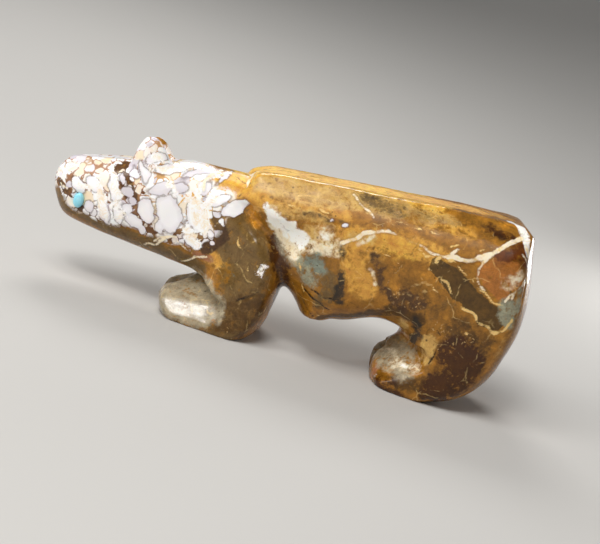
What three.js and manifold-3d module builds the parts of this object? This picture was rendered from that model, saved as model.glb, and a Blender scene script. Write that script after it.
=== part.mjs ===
// A standing bear carved from a slab of mottled stone, in the manner of a Zuni fetish,
// with a small oval of turquoise let into each side of its head.
// Millimetres, +Z up. The head looks along -X, its left flank faces -Y, and the soles are on z = 0.

import * as THREE from 'three';
import { MarchingCubes } from 'three/addons/objects/MarchingCubes.js';
import { mergeVertices } from 'three/addons/utils/BufferGeometryUtils.js';
import Module from 'manifold-3d';

const wasm = await Module();
wasm.setup();

// Driving dimensions
const LENGTH = 90;             // nose to rump, to within a millimetre
const HEIGHT = 35.6;           // soles to the highest part of the back
const WIDTH = 23.6;            // across the hips
const CHANNEL_WIDTH = 4.8;     // slot ground between the left and the right feet
const CHANNEL_HEIGHT = 7;
const MOUTH_DEPTH = 1.5;       // how far back the sawn mouth line runs
const MOUTH_GAPE = 0.7;        // height of the mouth line
const EYE_WIDTH = 1.8;
const EYE_HEIGHT = 2.7;
const EYE_THICKNESS = 1.3;     // below the rim
const EYE_DOME = 0.3;          // polished top above the rim
const SOCKET_CLEARANCE = 0.15; // around and behind each eye
const WHEEL_RADIUS = 3.2;      // of the wheel that ground the paws
const WHEEL_RISE = 1.3;        // how far the stone turns up behind a ground flat, in radians
const CELL = 1.71;             // size of the facets that the rounded forms are cut into

// How many straight runs stand for each round form
const EAR_SIDES = 18;
const EYE_SIDES = 16;
const EYE_DOME_STEPS = 3;
const WHEEL_STEPS = 8;
const CHANNEL_ROOF_STEPS = 10;
const BACK_STEPS = 6;
const RIB_STEPS = 4;

const STONE = { color: 0xa9813f, roughness: 0.25, metalness: 0 };
const TURQUOISE = { color: 0x5cc9cf, roughness: 0.3, metalness: 0 };

// The carving keeps its proportions. A place on it is a share of the length behind the nose,
// of half the width beside the middle (negative on the left) and of the height above the soles.
const atLength = (share) => (share - 0.5) * LENGTH;
const atSide = (share) => (share * WIDTH) / 2;
const atHeight = (share) => share * HEIGHT;
const place = (u, s, v) => new THREE.Vector3(atLength(u), atSide(s), atHeight(v));
const SIDES = [-1, 1];
const FAR = 2 * LENGTH;        // reach of a cutter beyond the stone

// Outlines of the two masses, seen from the side, as places of [share of length, share of height].
// Each run is a smooth curve, and runs meet at corners. The feet reach below the soles, which are
// cut flat later.
const POINTS_PER_SPAN = 6;

function outlineOf(...runs) {
  const shape = new THREE.Shape();
  for (const [index, run] of runs.entries()) {
    const [first, ...rest] = run.map(([u, v]) => new THREE.Vector2(atLength(u), atHeight(v)));
    if (index === 0) shape.moveTo(first.x, first.y);
    else shape.lineTo(first.x, first.y);
    if (rest.length > 0) shape.splineThru(rest);
  }
  return shape.getPoints(POINTS_PER_SPAN);
}

// Head, neck and front legs: over the head, down inside the ribs, then the feet and the jaw
const FORE_TOP = [[0.01, 0.388], [-0.0005, 0.448], [-0.0035, 0.51], [0.005, 0.57], [0.028, 0.622],
  [0.08, 0.676], [0.135, 0.712], [0.225, 0.763], [0.285, 0.786], [0.335, 0.794], [0.4, 0.8], [0.415, 0.755]];
const FORE_HEEL = [[0.42, 0.7], [0.452, 0.618], [0.48, 0.532], [0.503, 0.44], [0.512, 0.34], [0.51, 0.215],
  [0.506, 0.127], [0.495, 0.044], [0.472, -0.014], [0.447, -0.062], [0.42, -0.07], [0.33, -0.065]];
const FORE_TOE = [[0.304, -0.035], [0.284, 0.014], [0.272, 0.09], [0.285, 0.142], [0.308, 0.172],
  [0.33, 0.21]];
const FORE_CROTCH = [[0.354, 0.243]];
const FORE_JAW = [[0.3, 0.247], [0.2, 0.266], [0.114, 0.276], [0.068, 0.29], [0.04, 0.305], [0.02, 0.345]];

// Back, ribs and rear legs: along the back, round the rump, then the feet, the belly and the ribs
const BODY_FRONT = [[0.29, 0.9]];
const BODY_BACK = [[0.4, 0.885], [0.5, 0.928], [0.6, 0.96], [0.7, 0.985], [0.8, 1.012], [0.88, 1.026],
  [0.94, 1.015], [0.965, 0.98], [0.974, 0.895], [0.989, 0.759], [1.0, 0.62], [1.003, 0.48],
  [0.992, 0.33], [0.976, 0.195], [0.946, 0.084], [0.905, 0.018], [0.862, -0.02], [0.83, -0.055],
  [0.77, -0.062]];
const BODY_TOE = [[0.754, -0.045], [0.736, 0.014], [0.736, 0.127], [0.75, 0.192], [0.768, 0.235]];
const BODY_CROTCH = [[0.778, 0.29]];
const BODY_BELLY = [[0.745, 0.306], [0.712, 0.298], [0.66, 0.235], [0.631, 0.225], [0.616, 0.19],
  [0.598, 0.158], [0.572, 0.182], [0.543, 0.265], [0.52, 0.308], [0.49, 0.33]];
const BODY_RIBS = [[0.462, 0.39], [0.446, 0.47], [0.415, 0.55], [0.365, 0.615], [0.29, 0.7]];

const foreOutline = outlineOf(FORE_TOP, FORE_HEEL, FORE_TOE, FORE_CROTCH, FORE_JAW);
const bodyOutline = outlineOf(BODY_FRONT, BODY_BACK, BODY_TOE, BODY_CROTCH, BODY_BELLY, BODY_RIBS);

// Half widths along the length: [share of length, share of half the width]
const HEAD_SIDES = [[0.0, 0.34], [0.07, 0.47], [0.16, 0.57], [0.27, 0.62], [0.39, 0.72], [0.46, 0.84]];
const FRONT_LEG_SIDES = [[0.27, 0.8], [0.36, 0.84], [0.42, 0.87], [0.5, 0.87]];
const BODY_SIDES = [[0.36, 0.83], [0.5, 0.87], [0.65, 0.9], [0.8, 0.98], [0.9, 1.0], [1.0, 0.93]];
const REAR_LEG_SIDES = [[0.73, 0.8], [0.8, 0.88], [0.87, 0.98], [1.0, 0.92]];

// The radius that turns an outline over to the flank, as a share of the length
const SOLE_ROUNDING = 0.026;
const LEG_ROUNDING = 0.034;
const HEAD_ROUNDING = 0.062;
const SHOULDER_ROUNDING = 0.085;
const RUMP_ROUNDING = 0.042;
const BODY_ROUNDING = 0.062;
const RIB_ROUNDING = 0.1;      // where the ribs turn in behind the front leg

function smooth(low, high, value) {
  const t = THREE.MathUtils.clamp((value - low) / (high - low), 0, 1);
  return t * t * (3 - 2 * t);
}

const blend = THREE.MathUtils.lerp;

// The value at a position between stations of [position, value]
function along(stations, position) {
  const next = stations.findIndex(([start]) => start > position);
  if (next === 0) return stations[0][1];
  if (next < 0) return stations.at(-1)[1];
  const [a, from] = stations[next - 1];
  const [b, to] = stations[next];
  return blend(from, to, smooth(a, b, position));
}

// The legs keep their own widths up to where they join the head or the body
function foreHalfWidth(u, v) {
  const shoulder = blend(0.27, 0.42, smooth(0.33, 0.4, u));
  return blend(along(FRONT_LEG_SIDES, u), along(HEAD_SIDES, u), smooth(0.22, shoulder, v));
}

const bodyHalfWidth = (u, v) => blend(along(REAR_LEG_SIDES, u), along(BODY_SIDES, u), smooth(0.2, 0.36, v));

function foreRounding(u, v) {
  const head = smooth(0.2, 0.4, v) * (1 - smooth(0.36, 0.42, u));
  const shoulder = smooth(0.5, 0.68, v) * smooth(0.36, 0.42, u);
  const upper = blend(blend(LEG_ROUNDING, HEAD_ROUNDING, head), SHOULDER_ROUNDING, shoulder);
  return blend(SOLE_ROUNDING, upper, smooth(-0.02, 0.16, v));
}

function bodyRounding(u, v) {
  const ribs = blend(BODY_ROUNDING, RIB_ROUNDING, smooth(0.62, 0.54, u) * smooth(0.82, 0.7, v));
  const upper = blend(LEG_ROUNDING, ribs, smooth(0.14, 0.3, v));
  return blend(SOLE_ROUNDING, blend(upper, RUMP_ROUNDING, smooth(0.88, 0.96, u)), smooth(-0.02, 0.16, v));
}

// How deep a place of the side view lies inside an outline, negative outside it
function depthInside(outline, x, z) {
  let nearest = Infinity;
  let inside = false;
  for (let i = 0; i < outline.length; i += 1) {
    const a = outline[i];
    const b = outline[(i + 1) % outline.length];
    const run = b.x - a.x;
    const rise = b.y - a.y;
    const share = ((x - a.x) * run + (z - a.y) * rise) / Math.max(run * run + rise * rise, Number.EPSILON);
    const t = THREE.MathUtils.clamp(share, 0, 1);
    nearest = Math.min(nearest, Math.hypot(x - a.x - t * run, z - a.y - t * rise));
    if (a.y > z !== b.y > z && x < a.x + (run * (z - a.y)) / rise) inside = !inside;
  }
  return inside ? nearest : -nearest;
}

// A slab gives, for a place in the side view, its half width there and how far its edge has
// turned over, from 0 on the flat flank to 1 on the outline
function roundedSlab(outline, halfWidth, rounding) {
  const sectionAt = (x, z) => {
    const u = x / LENGTH + 0.5;
    const v = z / HEIGHT;
    const radius = rounding(u, v) * LENGTH;
    const turned = Math.max(0, 1 - depthInside(outline, x, z) / radius);
    return { radius, turned, half: atSide(halfWidth(u, v)) };
  };
  return { outline, sectionAt };
}

const foreSlab = roundedSlab(foreOutline, foreHalfWidth, foreRounding);
const bodySlab = roundedSlab(bodyOutline, bodyHalfWidth, bodyRounding);

// Height above the surface of a slab in about millimetres, negative inside the stone
const heightOver = ({ radius, turned, half }, y) => radius * (Math.hypot(turned, y / half) - 1);
const heightAbove = (slab, point) => heightOver(slab.sectionAt(point.x, point.z), point.y);

// How far the surface stands from the middle plane at a place in the side view
function surfaceSide(slab, x, z) {
  const { turned, half } = slab.sectionAt(x, z);
  return half * Math.sqrt(1 - turned * turned);
}

// The direction straight out of the surface, with the steepness of the height as its length
function slopeAt(slab, point) {
  const step = 0.02 * CELL;
  const slope = ['x', 'y', 'z'].map((axis) => {
    const ahead = point.clone();
    const behind = point.clone();
    ahead[axis] += step;
    behind[axis] -= step;
    return (heightAbove(slab, ahead) - heightAbove(slab, behind)) / (2 * step);
  });
  return new THREE.Vector3(...slope);
}

// Moves a facet's corner onto the surface, in a few short steps
function settle(slab, point) {
  const most = 0.3 * CELL;
  const gentlest = 0.3;        // keeps a step short where the surface turns sharply
  for (let pass = 0; pass < 3; pass += 1) {
    const slope = slopeAt(slab, point);
    const move = -heightAbove(slab, point) / Math.max(slope.length(), gentlest);
    point.addScaledVector(slope.normalize(), THREE.MathUtils.clamp(move, -most, most));
  }
}

// A closed geometry becomes a solid, and a solid becomes a geometry again
function solidOf(geometry) {
  const bare = new THREE.BufferGeometry();
  bare.setAttribute('position', geometry.getAttribute('position').clone());
  if (geometry.index) bare.setIndex(geometry.index.clone());
  const merged = mergeVertices(bare, 1e-4);
  const corners = merged.index.array;
  const triVerts = [];
  for (let i = 0; i < corners.length; i += 3) {
    const [a, b, c] = corners.slice(i, i + 3);
    if (a !== b && b !== c && c !== a) triVerts.push(a, b, c);
  }
  return new wasm.Manifold(new wasm.Mesh({
    numProp: 3,
    vertProperties: new Float32Array(merged.getAttribute('position').array),
    triVerts: new Uint32Array(triVerts),
  }));
}

function geometryOf(solid) {
  const { vertProperties, triVerts } = solid.getMesh();
  const geometry = new THREE.BufferGeometry();
  geometry.setAttribute('position', new THREE.BufferAttribute(new Float32Array(vertProperties), 3));
  geometry.setIndex(new THREE.BufferAttribute(new Uint32Array(triVerts), 1));
  geometry.computeVertexNormals();
  return geometry;
}

// Marching cubes wrap a slab in small facets, whose corners then settle on its surface
function facetsOf(slab, shift) {
  const margin = 6;            // empty cubes around the stone
  const box = new THREE.Box2().setFromPoints(slab.outline);
  const size = box.getSize(new THREE.Vector2());
  const centre = box.getCenter(new THREE.Vector2()).addScalar(shift * CELL);
  const count = Math.ceil(Math.max(size.x, size.y, WIDTH) / CELL) + margin;
  const half = count / 2;
  const cubes = new MarchingCubes(count, undefined, false, false, 4 * count * count);
  cubes.isolation = 0;
  const least = 0.06 * CELL;   // keeps a facet's corner off the corners of the cubes
  for (let k = 0; k < count; k += 1) {
    for (let i = 0; i < count; i += 1) {
      const section = slab.sectionAt(centre.x + (i - half) * CELL, centre.y + (k - half) * CELL);
      for (let j = 0; j < count; j += 1) {
        const depth = -heightOver(section, (j - half) * CELL);
        cubes.setCell(i, j, k, Math.max(Math.abs(depth), least) * (depth < 0 ? -1 : 1));
      }
    }
  }
  cubes.update();
  const corners = cubes.geometry.getAttribute('position').array.slice(0, 3 * cubes.count);
  const facets = new THREE.BufferGeometry();
  facets.setAttribute('position', new THREE.BufferAttribute(corners, 3));
  facets.scale(half * CELL, half * CELL, half * CELL).translate(centre.x, 0, centre.y);
  const skin = mergeVertices(facets, 1e-4);
  const position = skin.getAttribute('position');
  const point = new THREE.Vector3();
  for (let i = 0; i < position.count; i += 1) {
    settle(slab, point.fromBufferAttribute(position, i));
    position.setXYZ(i, point.x, point.y, point.z);
  }
  return skin;
}

// Where two faces of the stone pass through one cube, the facets can fail to close. The cubes are
// then moved by a share of their size and tried again.
function facetedSlab(slab) {
  const shifts = [0, 0.2, 0.4, 0.6, 0.8];
  for (const shift of shifts) {
    try {
      return solidOf(facetsOf(slab, shift));
    } catch {
      continue;
    }
  }
  throw new Error('The facets of a slab did not close');
}

// Cutters

// A block that takes away all the stone in front of a flat ground face
function groundFace(point, normal) {
  const block = new THREE.BoxGeometry(FAR, FAR, FAR).translate(0, 0, FAR / 2);
  const looks = normal.clone().normalize();
  const turn = new THREE.Quaternion().setFromUnitVectors(new THREE.Vector3(0, 0, 1), looks);
  return solidOf(block.applyQuaternion(turn).translate(point.x, point.y, point.z));
}

// A flat ground by a wheel: it runs back from the toe to a line from its outer to its inner end,
// and there the stone rises again in the round of the wheel. Places are given for the left side.
// Facing is 1 for a flat that looks up and -1 for one that looks down.
function groundFlat(hand, toe, outerEnd, innerEnd, facing = 1) {
  const side = new THREE.Vector3(1, -hand, 1);
  const [front, outer, inner] = [toe, outerEnd, innerEnd].map((at) => at.clone().multiply(side));
  const across = inner.clone().sub(outer).normalize();
  const ahead = front.clone().sub(outer);
  const back = ahead.addScaledVector(across, -ahead.dot(across)).normalize().negate();
  const up = across.clone().cross(back);
  if (up.z * facing < 0) up.negate();
  const wheel = new THREE.Shape();
  wheel.moveTo(-FAR, FAR);
  wheel.lineTo(-FAR, 0);
  wheel.lineTo(0, 0);
  wheel.absarc(0, WHEEL_RADIUS, WHEEL_RADIUS, -Math.PI / 2, WHEEL_RISE - Math.PI / 2, false);
  wheel.lineTo(WHEEL_RADIUS * Math.sin(WHEEL_RISE) + FAR * Math.cos(WHEEL_RISE), FAR);
  const run = { depth: FAR, bevelEnabled: false, curveSegments: WHEEL_STEPS };
  const bar = new THREE.ExtrudeGeometry(wheel, run);
  const turn = new THREE.Matrix4().makeBasis(back, up, back.clone().cross(up)).setPosition(outer);
  return solidOf(bar.translate(0, 0, -FAR / 2).applyMatrix4(turn));
}

// A flat ground face of the left or the right flank. Its values are given for the right side.
function sideFace(hand, { edge, looks }) {
  const side = new THREE.Vector3(1, hand, 1);
  return groundFace(edge.clone().multiply(side), looks.clone().multiply(side));
}

// A side view's shape, run across the whole width
function acrossTheWidth(shape, width) {
  const run = { depth: width, bevelEnabled: false, curveSegments: BACK_STEPS };
  const bar = new THREE.ExtrudeGeometry(shape, run);
  return solidOf(bar.rotateX(Math.PI / 2).translate(0, width / 2, 0));
}

const cutAway = (solid, cutters) => cutters.reduce((rest, cutter) => rest.subtract(cutter), solid);

const soles = groundFace(place(0.5, 0, 0), new THREE.Vector3(0, 0, -1));

// The slot between the left and the right feet, with a round roof, from end to end
function channel() {
  const radius = CHANNEL_WIDTH / 2;
  const spring = CHANNEL_HEIGHT - radius;
  const arch = new THREE.Shape();
  arch.moveTo(-radius, -FAR);
  arch.lineTo(radius, -FAR);
  arch.lineTo(radius, spring);
  arch.absarc(0, spring, radius, 0, Math.PI, false);
  const run = { depth: FAR, bevelEnabled: false, curveSegments: CHANNEL_ROOF_STEPS };
  const bar = new THREE.ExtrudeGeometry(arch, run);
  return solidOf(bar.rotateX(Math.PI / 2).rotateZ(Math.PI / 2).translate(-FAR / 2, 0, 0));
}

// Head, neck and front legs

const BROW_FRONT = place(0.05, 0, 0.634);
const BROW_REAR = place(0.24, 0, 0.759);
const LIPS = place(0.014, 0, 0.372);
const MOUTH_SLOPE = 0.12;      // radians that the mouth line falls towards the nose

// The flat of the forehead
function browFace() {
  const run = BROW_REAR.clone().sub(BROW_FRONT);
  return groundFace(BROW_FRONT, new THREE.Vector3(-run.z, 0, run.x));
}

function mouthLine() {
  const blade = new THREE.BoxGeometry(2 * MOUTH_DEPTH, FAR, MOUTH_GAPE);
  return solidOf(blade.rotateY(-MOUTH_SLOPE).translate(LIPS.x, 0, LIPS.z));
}

// Ears: low rounded bumps that lean forward. Their sizes are shares of the length, their lean is in
// radians, and the profile gives [share of the size at the root, share of the height].
const EAR = { u: 0.2, v: 0.622, side: 0.32, length: 0.037, thickness: 0.019, height: 0.099, lean: 0.3 };
const EAR_PROFILE = [[1.5, 0], [1.42, 0.22], [1.2, 0.38], [1.02, 0.52], [0.85, 0.69], [0.61, 0.85],
  [0.34, 0.95], [0, 1]];
const RIGHT_EAR_DROP = 0.9;    // the right ear is ground a little lower than the left

function earForm({ u, v, side, length, thickness, height, lean }, hand) {
  const profile = EAR_PROFILE.map(([radius, rise]) => new THREE.Vector2(radius, rise));
  const form = new THREE.LatheGeometry([new THREE.Vector2(0, 0), ...profile], EAR_SIDES);
  const at = place(u, hand * side, v);
  form.rotateX(Math.PI / 2).scale(length * LENGTH, thickness * LENGTH, height * LENGTH).rotateY(-lean);
  return solidOf(form.translate(at.x, at.y, at.z - (hand > 0 ? RIGHT_EAR_DROP : 0)));
}

// The narrow end of the gap between the jaw and the paws
function underJaw() {
  const corners = [FORE_TOE.at(-2), FORE_TOE.at(-1), FORE_CROTCH[0], FORE_JAW[0]];
  const gap = new THREE.Shape(corners.map(([u, v]) => new THREE.Vector2(atLength(u), atHeight(v))));
  return acrossTheWidth(gap, FAR);
}

// Each front paw has an upper and an outer flat, which meet at a ridge
const FRONT_PAW = {
  toe: place(0.2965, -0.653, 0.103),
  ridgeEnd: place(0.385, -0.67, 0.131),
  innerEnd: place(0.353, -0.13, 0.2207),
  rimEnd: place(0.395, -0.86, 0.038),
};
const CROTCH = place(0.353, 0, 0.245);
const JAW_LOOKS = new THREE.Vector3(0.25, 0, -0.968);
const LEG_LOOKS = new THREE.Vector3(-0.45, 0, -0.89);

function frontPawFlats(hand) {
  const below = groundFace(CROTCH, JAW_LOOKS).intersect(groundFace(CROTCH, LEG_LOOKS));
  const upper = groundFlat(hand, FRONT_PAW.toe, FRONT_PAW.ridgeEnd, FRONT_PAW.innerEnd);
  const outer = groundFlat(hand, FRONT_PAW.toe, FRONT_PAW.rimEnd, FRONT_PAW.ridgeEnd);
  return upper.add(outer).intersect(below);
}

function foreQuarters() {
  const cutters = [browFace(), mouthLine(), underJaw(), ...SIDES.map(frontPawFlats)];
  const ground = cutAway(facetedSlab(foreSlab), cutters);
  const ears = SIDES.map((hand) => earForm(EAR, hand));
  return ears.reduce((stone, ear) => stone.add(ear), ground);
}

// Back, ribs and rear legs

// The flat top of the back, seen from the side
const BACK_LINE = [[0.36, 0.78], [0.397, 0.838], [0.43, 0.866], [0.489, 0.885], [0.586, 0.915],
  [0.689, 0.944], [0.789, 0.975], [0.877, 0.994], [0.92, 1.0], [0.96, 0.993], [1.05, 0.96]];
// Flat ground faces: a place on each and the way it looks
const BACK_SIDE = { edge: place(0.5, 0.51, 0.884), looks: new THREE.Vector3(-0.122, 1, 1) };
const BLOCK_FRONT = { edge: place(0.392, -0.68, 0.765), looks: new THREE.Vector3(-0.933, -0.123, 0.339) };
const RUMP_TOP = { edge: place(0.951, 0, 0.978), looks: new THREE.Vector3(0.55, 0, 0.835) };
const RUMP_SIDE = { edge: place(0.981, 0.76, 0.7), looks: new THREE.Vector3(0.94, 0.34, 0.06) };
const BELLY = {
  front: place(0.628, -0.847, 0.31),
  outerEnd: place(0.739, -0.88, 0.408),
  innerEnd: place(0.739, -0.55, 0.33),
};
const REAR_PAW = {
  toe: place(0.748, -0.746, 0.025),
  outerEnd: place(0.821, -0.84, 0.15),
  innerEnd: place(0.7733, -0.21, 0.212),
};
// Between the belly and the rear paws
const REAR_CROTCH = place(0.77, 0, 0.262);
const ABOVE_PAW_LOOKS = new THREE.Vector3(-0.52, 0, 0.85);
const BELOW_BELLY_LOOKS = new THREE.Vector3(0.1, 0, -1);
// The edge of the hollow behind the front leg, and how that hollow slants
const RIB_EDGE = [[0.36, 0.79], [0.385, 0.742], [0.412, 0.711], [0.464, 0.699], [0.4925, 0.689],
  [0.512, 0.672], [0.535, 0.638], [0.546, 0.6], [0.54, 0.55], [0.527, 0.49], [0.503, 0.42], [0.47, 0.33]];
const RIB_SIDE = 0.86;         // where the edge lies on the flank, as a share of half the width
const RIB_SLANT = { back: 1.9, up: 1.1 };   // run of the hollow for each millimetre outwards

function backTop() {
  const line = BACK_LINE.map(([u, v]) => new THREE.Vector2(atLength(u), atHeight(v)));
  const above = new THREE.Shape();
  above.moveTo(line.at(-1).x, FAR);
  above.lineTo(line[0].x, FAR);
  above.lineTo(line[0].x, line[0].y);
  above.splineThru(line.slice(1));
  return acrossTheWidth(above, FAR);
}

// The hollow ground behind each front leg: it slants in from a crisp edge on the flank, towards the leg
function ribFace(hand) {
  const edge = RIB_EDGE.map(([u, v]) => new THREE.Vector2(atLength(u), atHeight(v)));
  const ahead = new THREE.Shape();
  ahead.moveTo(-FAR, edge.at(-1).y);
  ahead.lineTo(-FAR, edge[0].y);
  ahead.lineTo(edge[0].x, edge[0].y);
  ahead.splineThru(edge.slice(1));
  const run = { depth: WIDTH, bevelEnabled: false, curveSegments: RIB_STEPS };
  const bar = new THREE.ExtrudeGeometry(ahead, run);
  const side = atSide(RIB_SIDE);
  bar.rotateX(Math.PI / 2).translate(0, hand > 0 ? WIDTH : 0, 0).translate(0, -hand * side, 0);
  bar.applyMatrix4(new THREE.Matrix4().makeShear(0, 0, hand * RIB_SLANT.back, hand * RIB_SLANT.up, 0, 0));
  return solidOf(bar.translate(0, hand * side, 0));
}

// The underside ground up towards each flank, as far back as the thigh
function bellyFlat(hand) {
  const flat = groundFlat(hand, BELLY.front, BELLY.outerEnd, BELLY.innerEnd, -1);
  return flat.intersect(groundFace(REAR_CROTCH, ABOVE_PAW_LOOKS));
}

function rearPawFlat(hand) {
  const flat = groundFlat(hand, REAR_PAW.toe, REAR_PAW.outerEnd, REAR_PAW.innerEnd);
  return flat.intersect(groundFace(REAR_CROTCH, BELOW_BELLY_LOOKS));
}

function hindQuarters() {
  const middle = [
    backTop(),
    groundFace(BLOCK_FRONT.edge, BLOCK_FRONT.looks),
    groundFace(RUMP_TOP.edge, RUMP_TOP.looks),
  ];
  const flanks = SIDES.flatMap((hand) => [
    sideFace(hand, BACK_SIDE),
    sideFace(hand, RUMP_SIDE),
    ribFace(hand),
    bellyFlat(hand),
    rearPawFlat(hand),
  ]);
  return cutAway(facetedSlab(bodySlab), [...middle, ...flanks]);
}

// Eyes

const EYE_PLACE = { u: 0.0693, v: 0.421 };

// The middle of an eye's rim, on the surface of the head, and the direction that the eye looks
function eyeSeat(hand) {
  const x = atLength(EYE_PLACE.u);
  const z = atHeight(EYE_PLACE.v);
  const point = new THREE.Vector3(x, hand * surfaceSide(foreSlab, x, z), z);
  return { point, look: slopeAt(foreSlab, point).normalize() };
}

function set(geometry, { point, look }) {
  const turn = new THREE.Matrix4().lookAt(look, new THREE.Vector3(), new THREE.Vector3(0, 0, 1));
  return geometry.applyMatrix4(turn.setPosition(point));
}

// An oval of turquoise: a flat back, straight sides and a low dome
function eyeStone() {
  const profile = [new THREE.Vector2(0, -EYE_THICKNESS), new THREE.Vector2(1, -EYE_THICKNESS)];
  for (let i = 0; i <= EYE_DOME_STEPS; i += 1) {
    const angle = (i / EYE_DOME_STEPS) * (Math.PI / 2);
    profile.push(new THREE.Vector2(i === EYE_DOME_STEPS ? 0 : Math.cos(angle), EYE_DOME * Math.sin(angle)));
  }
  const stone = new THREE.LatheGeometry(profile, EYE_SIDES).rotateX(Math.PI / 2);
  return stone.scale(EYE_WIDTH / 2, EYE_HEIGHT / 2, 1);
}

function eyeSocket() {
  const depth = EYE_THICKNESS + SOCKET_CLEARANCE;
  const well = new THREE.CylinderGeometry(1, 1, 2 * depth, EYE_SIDES).rotateX(Math.PI / 2);
  return well.scale(EYE_WIDTH / 2 + SOCKET_CLEARANCE, EYE_HEIGHT / 2 + SOCKET_CLEARANCE, 1);
}

// The pieces

const group = new THREE.Group();

function addPiece(name, geometry, finish) {
  const mesh = new THREE.Mesh(geometry, new THREE.MeshStandardMaterial(finish));
  mesh.name = name;
  group.add(mesh);
}

const sockets = SIDES.map((hand) => solidOf(set(eyeSocket(), eyeSeat(hand))));
const bear = cutAway(foreQuarters().add(hindQuarters()), [soles, channel(), ...sockets]);
addPiece('carved_bear', geometryOf(bear), STONE);
for (const [name, hand] of [['left_eye', -1], ['right_eye', 1]]) {
  addPiece(name, geometryOf(solidOf(set(eyeStone(), eyeSeat(hand)))), TURQUOISE);
}

export default group;
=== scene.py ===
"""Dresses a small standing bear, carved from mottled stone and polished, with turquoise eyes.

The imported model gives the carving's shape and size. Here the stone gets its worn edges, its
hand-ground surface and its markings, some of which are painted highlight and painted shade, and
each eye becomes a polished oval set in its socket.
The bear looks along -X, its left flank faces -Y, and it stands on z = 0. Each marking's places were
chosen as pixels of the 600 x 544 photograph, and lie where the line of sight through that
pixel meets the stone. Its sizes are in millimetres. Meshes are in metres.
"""

import functools
import logging
import math
from collections.abc import Callable, Iterator
from dataclasses import dataclass, replace
from enum import Enum

import bmesh
import bpy
import numpy as np
from mathutils import Matrix, Vector, bvhtree, kdtree


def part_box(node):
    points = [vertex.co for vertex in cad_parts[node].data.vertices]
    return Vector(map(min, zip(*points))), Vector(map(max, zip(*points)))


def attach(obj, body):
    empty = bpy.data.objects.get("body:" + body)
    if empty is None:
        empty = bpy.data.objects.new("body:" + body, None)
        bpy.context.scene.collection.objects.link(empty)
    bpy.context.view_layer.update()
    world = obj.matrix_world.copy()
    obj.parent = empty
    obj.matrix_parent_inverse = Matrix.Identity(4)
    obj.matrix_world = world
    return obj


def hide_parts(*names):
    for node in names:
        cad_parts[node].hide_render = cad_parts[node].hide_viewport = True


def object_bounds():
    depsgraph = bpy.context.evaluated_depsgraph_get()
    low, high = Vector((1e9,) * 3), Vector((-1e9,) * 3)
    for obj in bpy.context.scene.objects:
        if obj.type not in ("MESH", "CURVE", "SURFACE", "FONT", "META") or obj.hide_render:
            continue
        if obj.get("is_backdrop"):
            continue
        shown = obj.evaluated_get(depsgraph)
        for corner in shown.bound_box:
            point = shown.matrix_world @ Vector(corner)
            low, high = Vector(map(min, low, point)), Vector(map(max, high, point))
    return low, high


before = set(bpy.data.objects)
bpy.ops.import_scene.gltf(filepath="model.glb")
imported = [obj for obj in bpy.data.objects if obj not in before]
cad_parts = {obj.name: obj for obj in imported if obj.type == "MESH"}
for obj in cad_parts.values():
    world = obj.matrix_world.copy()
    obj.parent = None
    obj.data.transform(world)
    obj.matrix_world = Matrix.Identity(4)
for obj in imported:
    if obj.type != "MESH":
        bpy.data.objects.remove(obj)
BOUNDS_AT_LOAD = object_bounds()

LOG = logging.getLogger("bear")
MM = 0.001
# A pixel of the photograph, a place in the left side view in millimetres, and a place in metres.
Pixel = tuple[float, float]
SideView = tuple[float, float]
Place = tuple[float, float, float]
Socket = bpy.types.NodeSocket
AddNode = Callable[..., Socket]
# What is laid over the stone's colour: how much of it shows, and its own colour.
Coat = tuple[Socket, Socket | str]


class Tone(Enum):
    """The colours of the stone outside its nodules, in the order that they lie over each other. Some
    zones of CREAM and CHALK are painted highlight, and some of UMBER and OXBLOOD painted shade.
    """

    AMBER = "#AC7422"
    GOLD = "#E8B448"
    OCHRE = "#D29A40"
    TAN = "#CBA25A"
    OLIVE = "#6E552E"
    ORANGE = "#D08A26"
    UMBER = "#56390F"
    OXBLOOD = "#402003"
    ROSE = "#A06A48"
    PLUM = "#4A3018"
    COPPER = "#AC6A2C"
    MAHOGANY = "#60300C"
    BASALT = "#42300F"
    LICHEN = "#96947C"
    DOVE = "#A3967C"
    CREAM = "#EFE0C0"
    CHALK = "#FFFCF4"
    MIST = "#7D8475"
    SLATE = "#30261A"

    @property
    def crisp(self) -> bool:
        """Tells whether the tone ends at a clean border, as a clast does."""
        return self in (Tone.BASALT, Tone.COPPER)


@dataclass(frozen=True)
class Zone:
    """A part of the stone in one tone, around a path.

    reach is how far it spreads from the path and edge how softly it ends, both in millimetres.
    share is how much it hides of what lies under it, and over 1 it leaves fewer gaps. A zone
    either lies at the surface around its path or runs through the whole width of the stone.
    """

    path: tuple[Pixel, ...]
    reach: float
    edge: float
    share: float = 1.0
    through: bool = False


@dataclass(frozen=True)
class Nodule:
    """A pale oval pebble in the stone, from tip to tip, with its width in millimetres.

    shade is 0 for white and 1 for grey-lavender.
    """

    tip: Pixel
    other_tip: Pixel
    width: float
    shade: float


@dataclass(frozen=True)
class Line:
    """A vein, crack or band that follows a path over the stone, with its width in millimetres."""

    path: tuple[Pixel, ...]
    width: float


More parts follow.
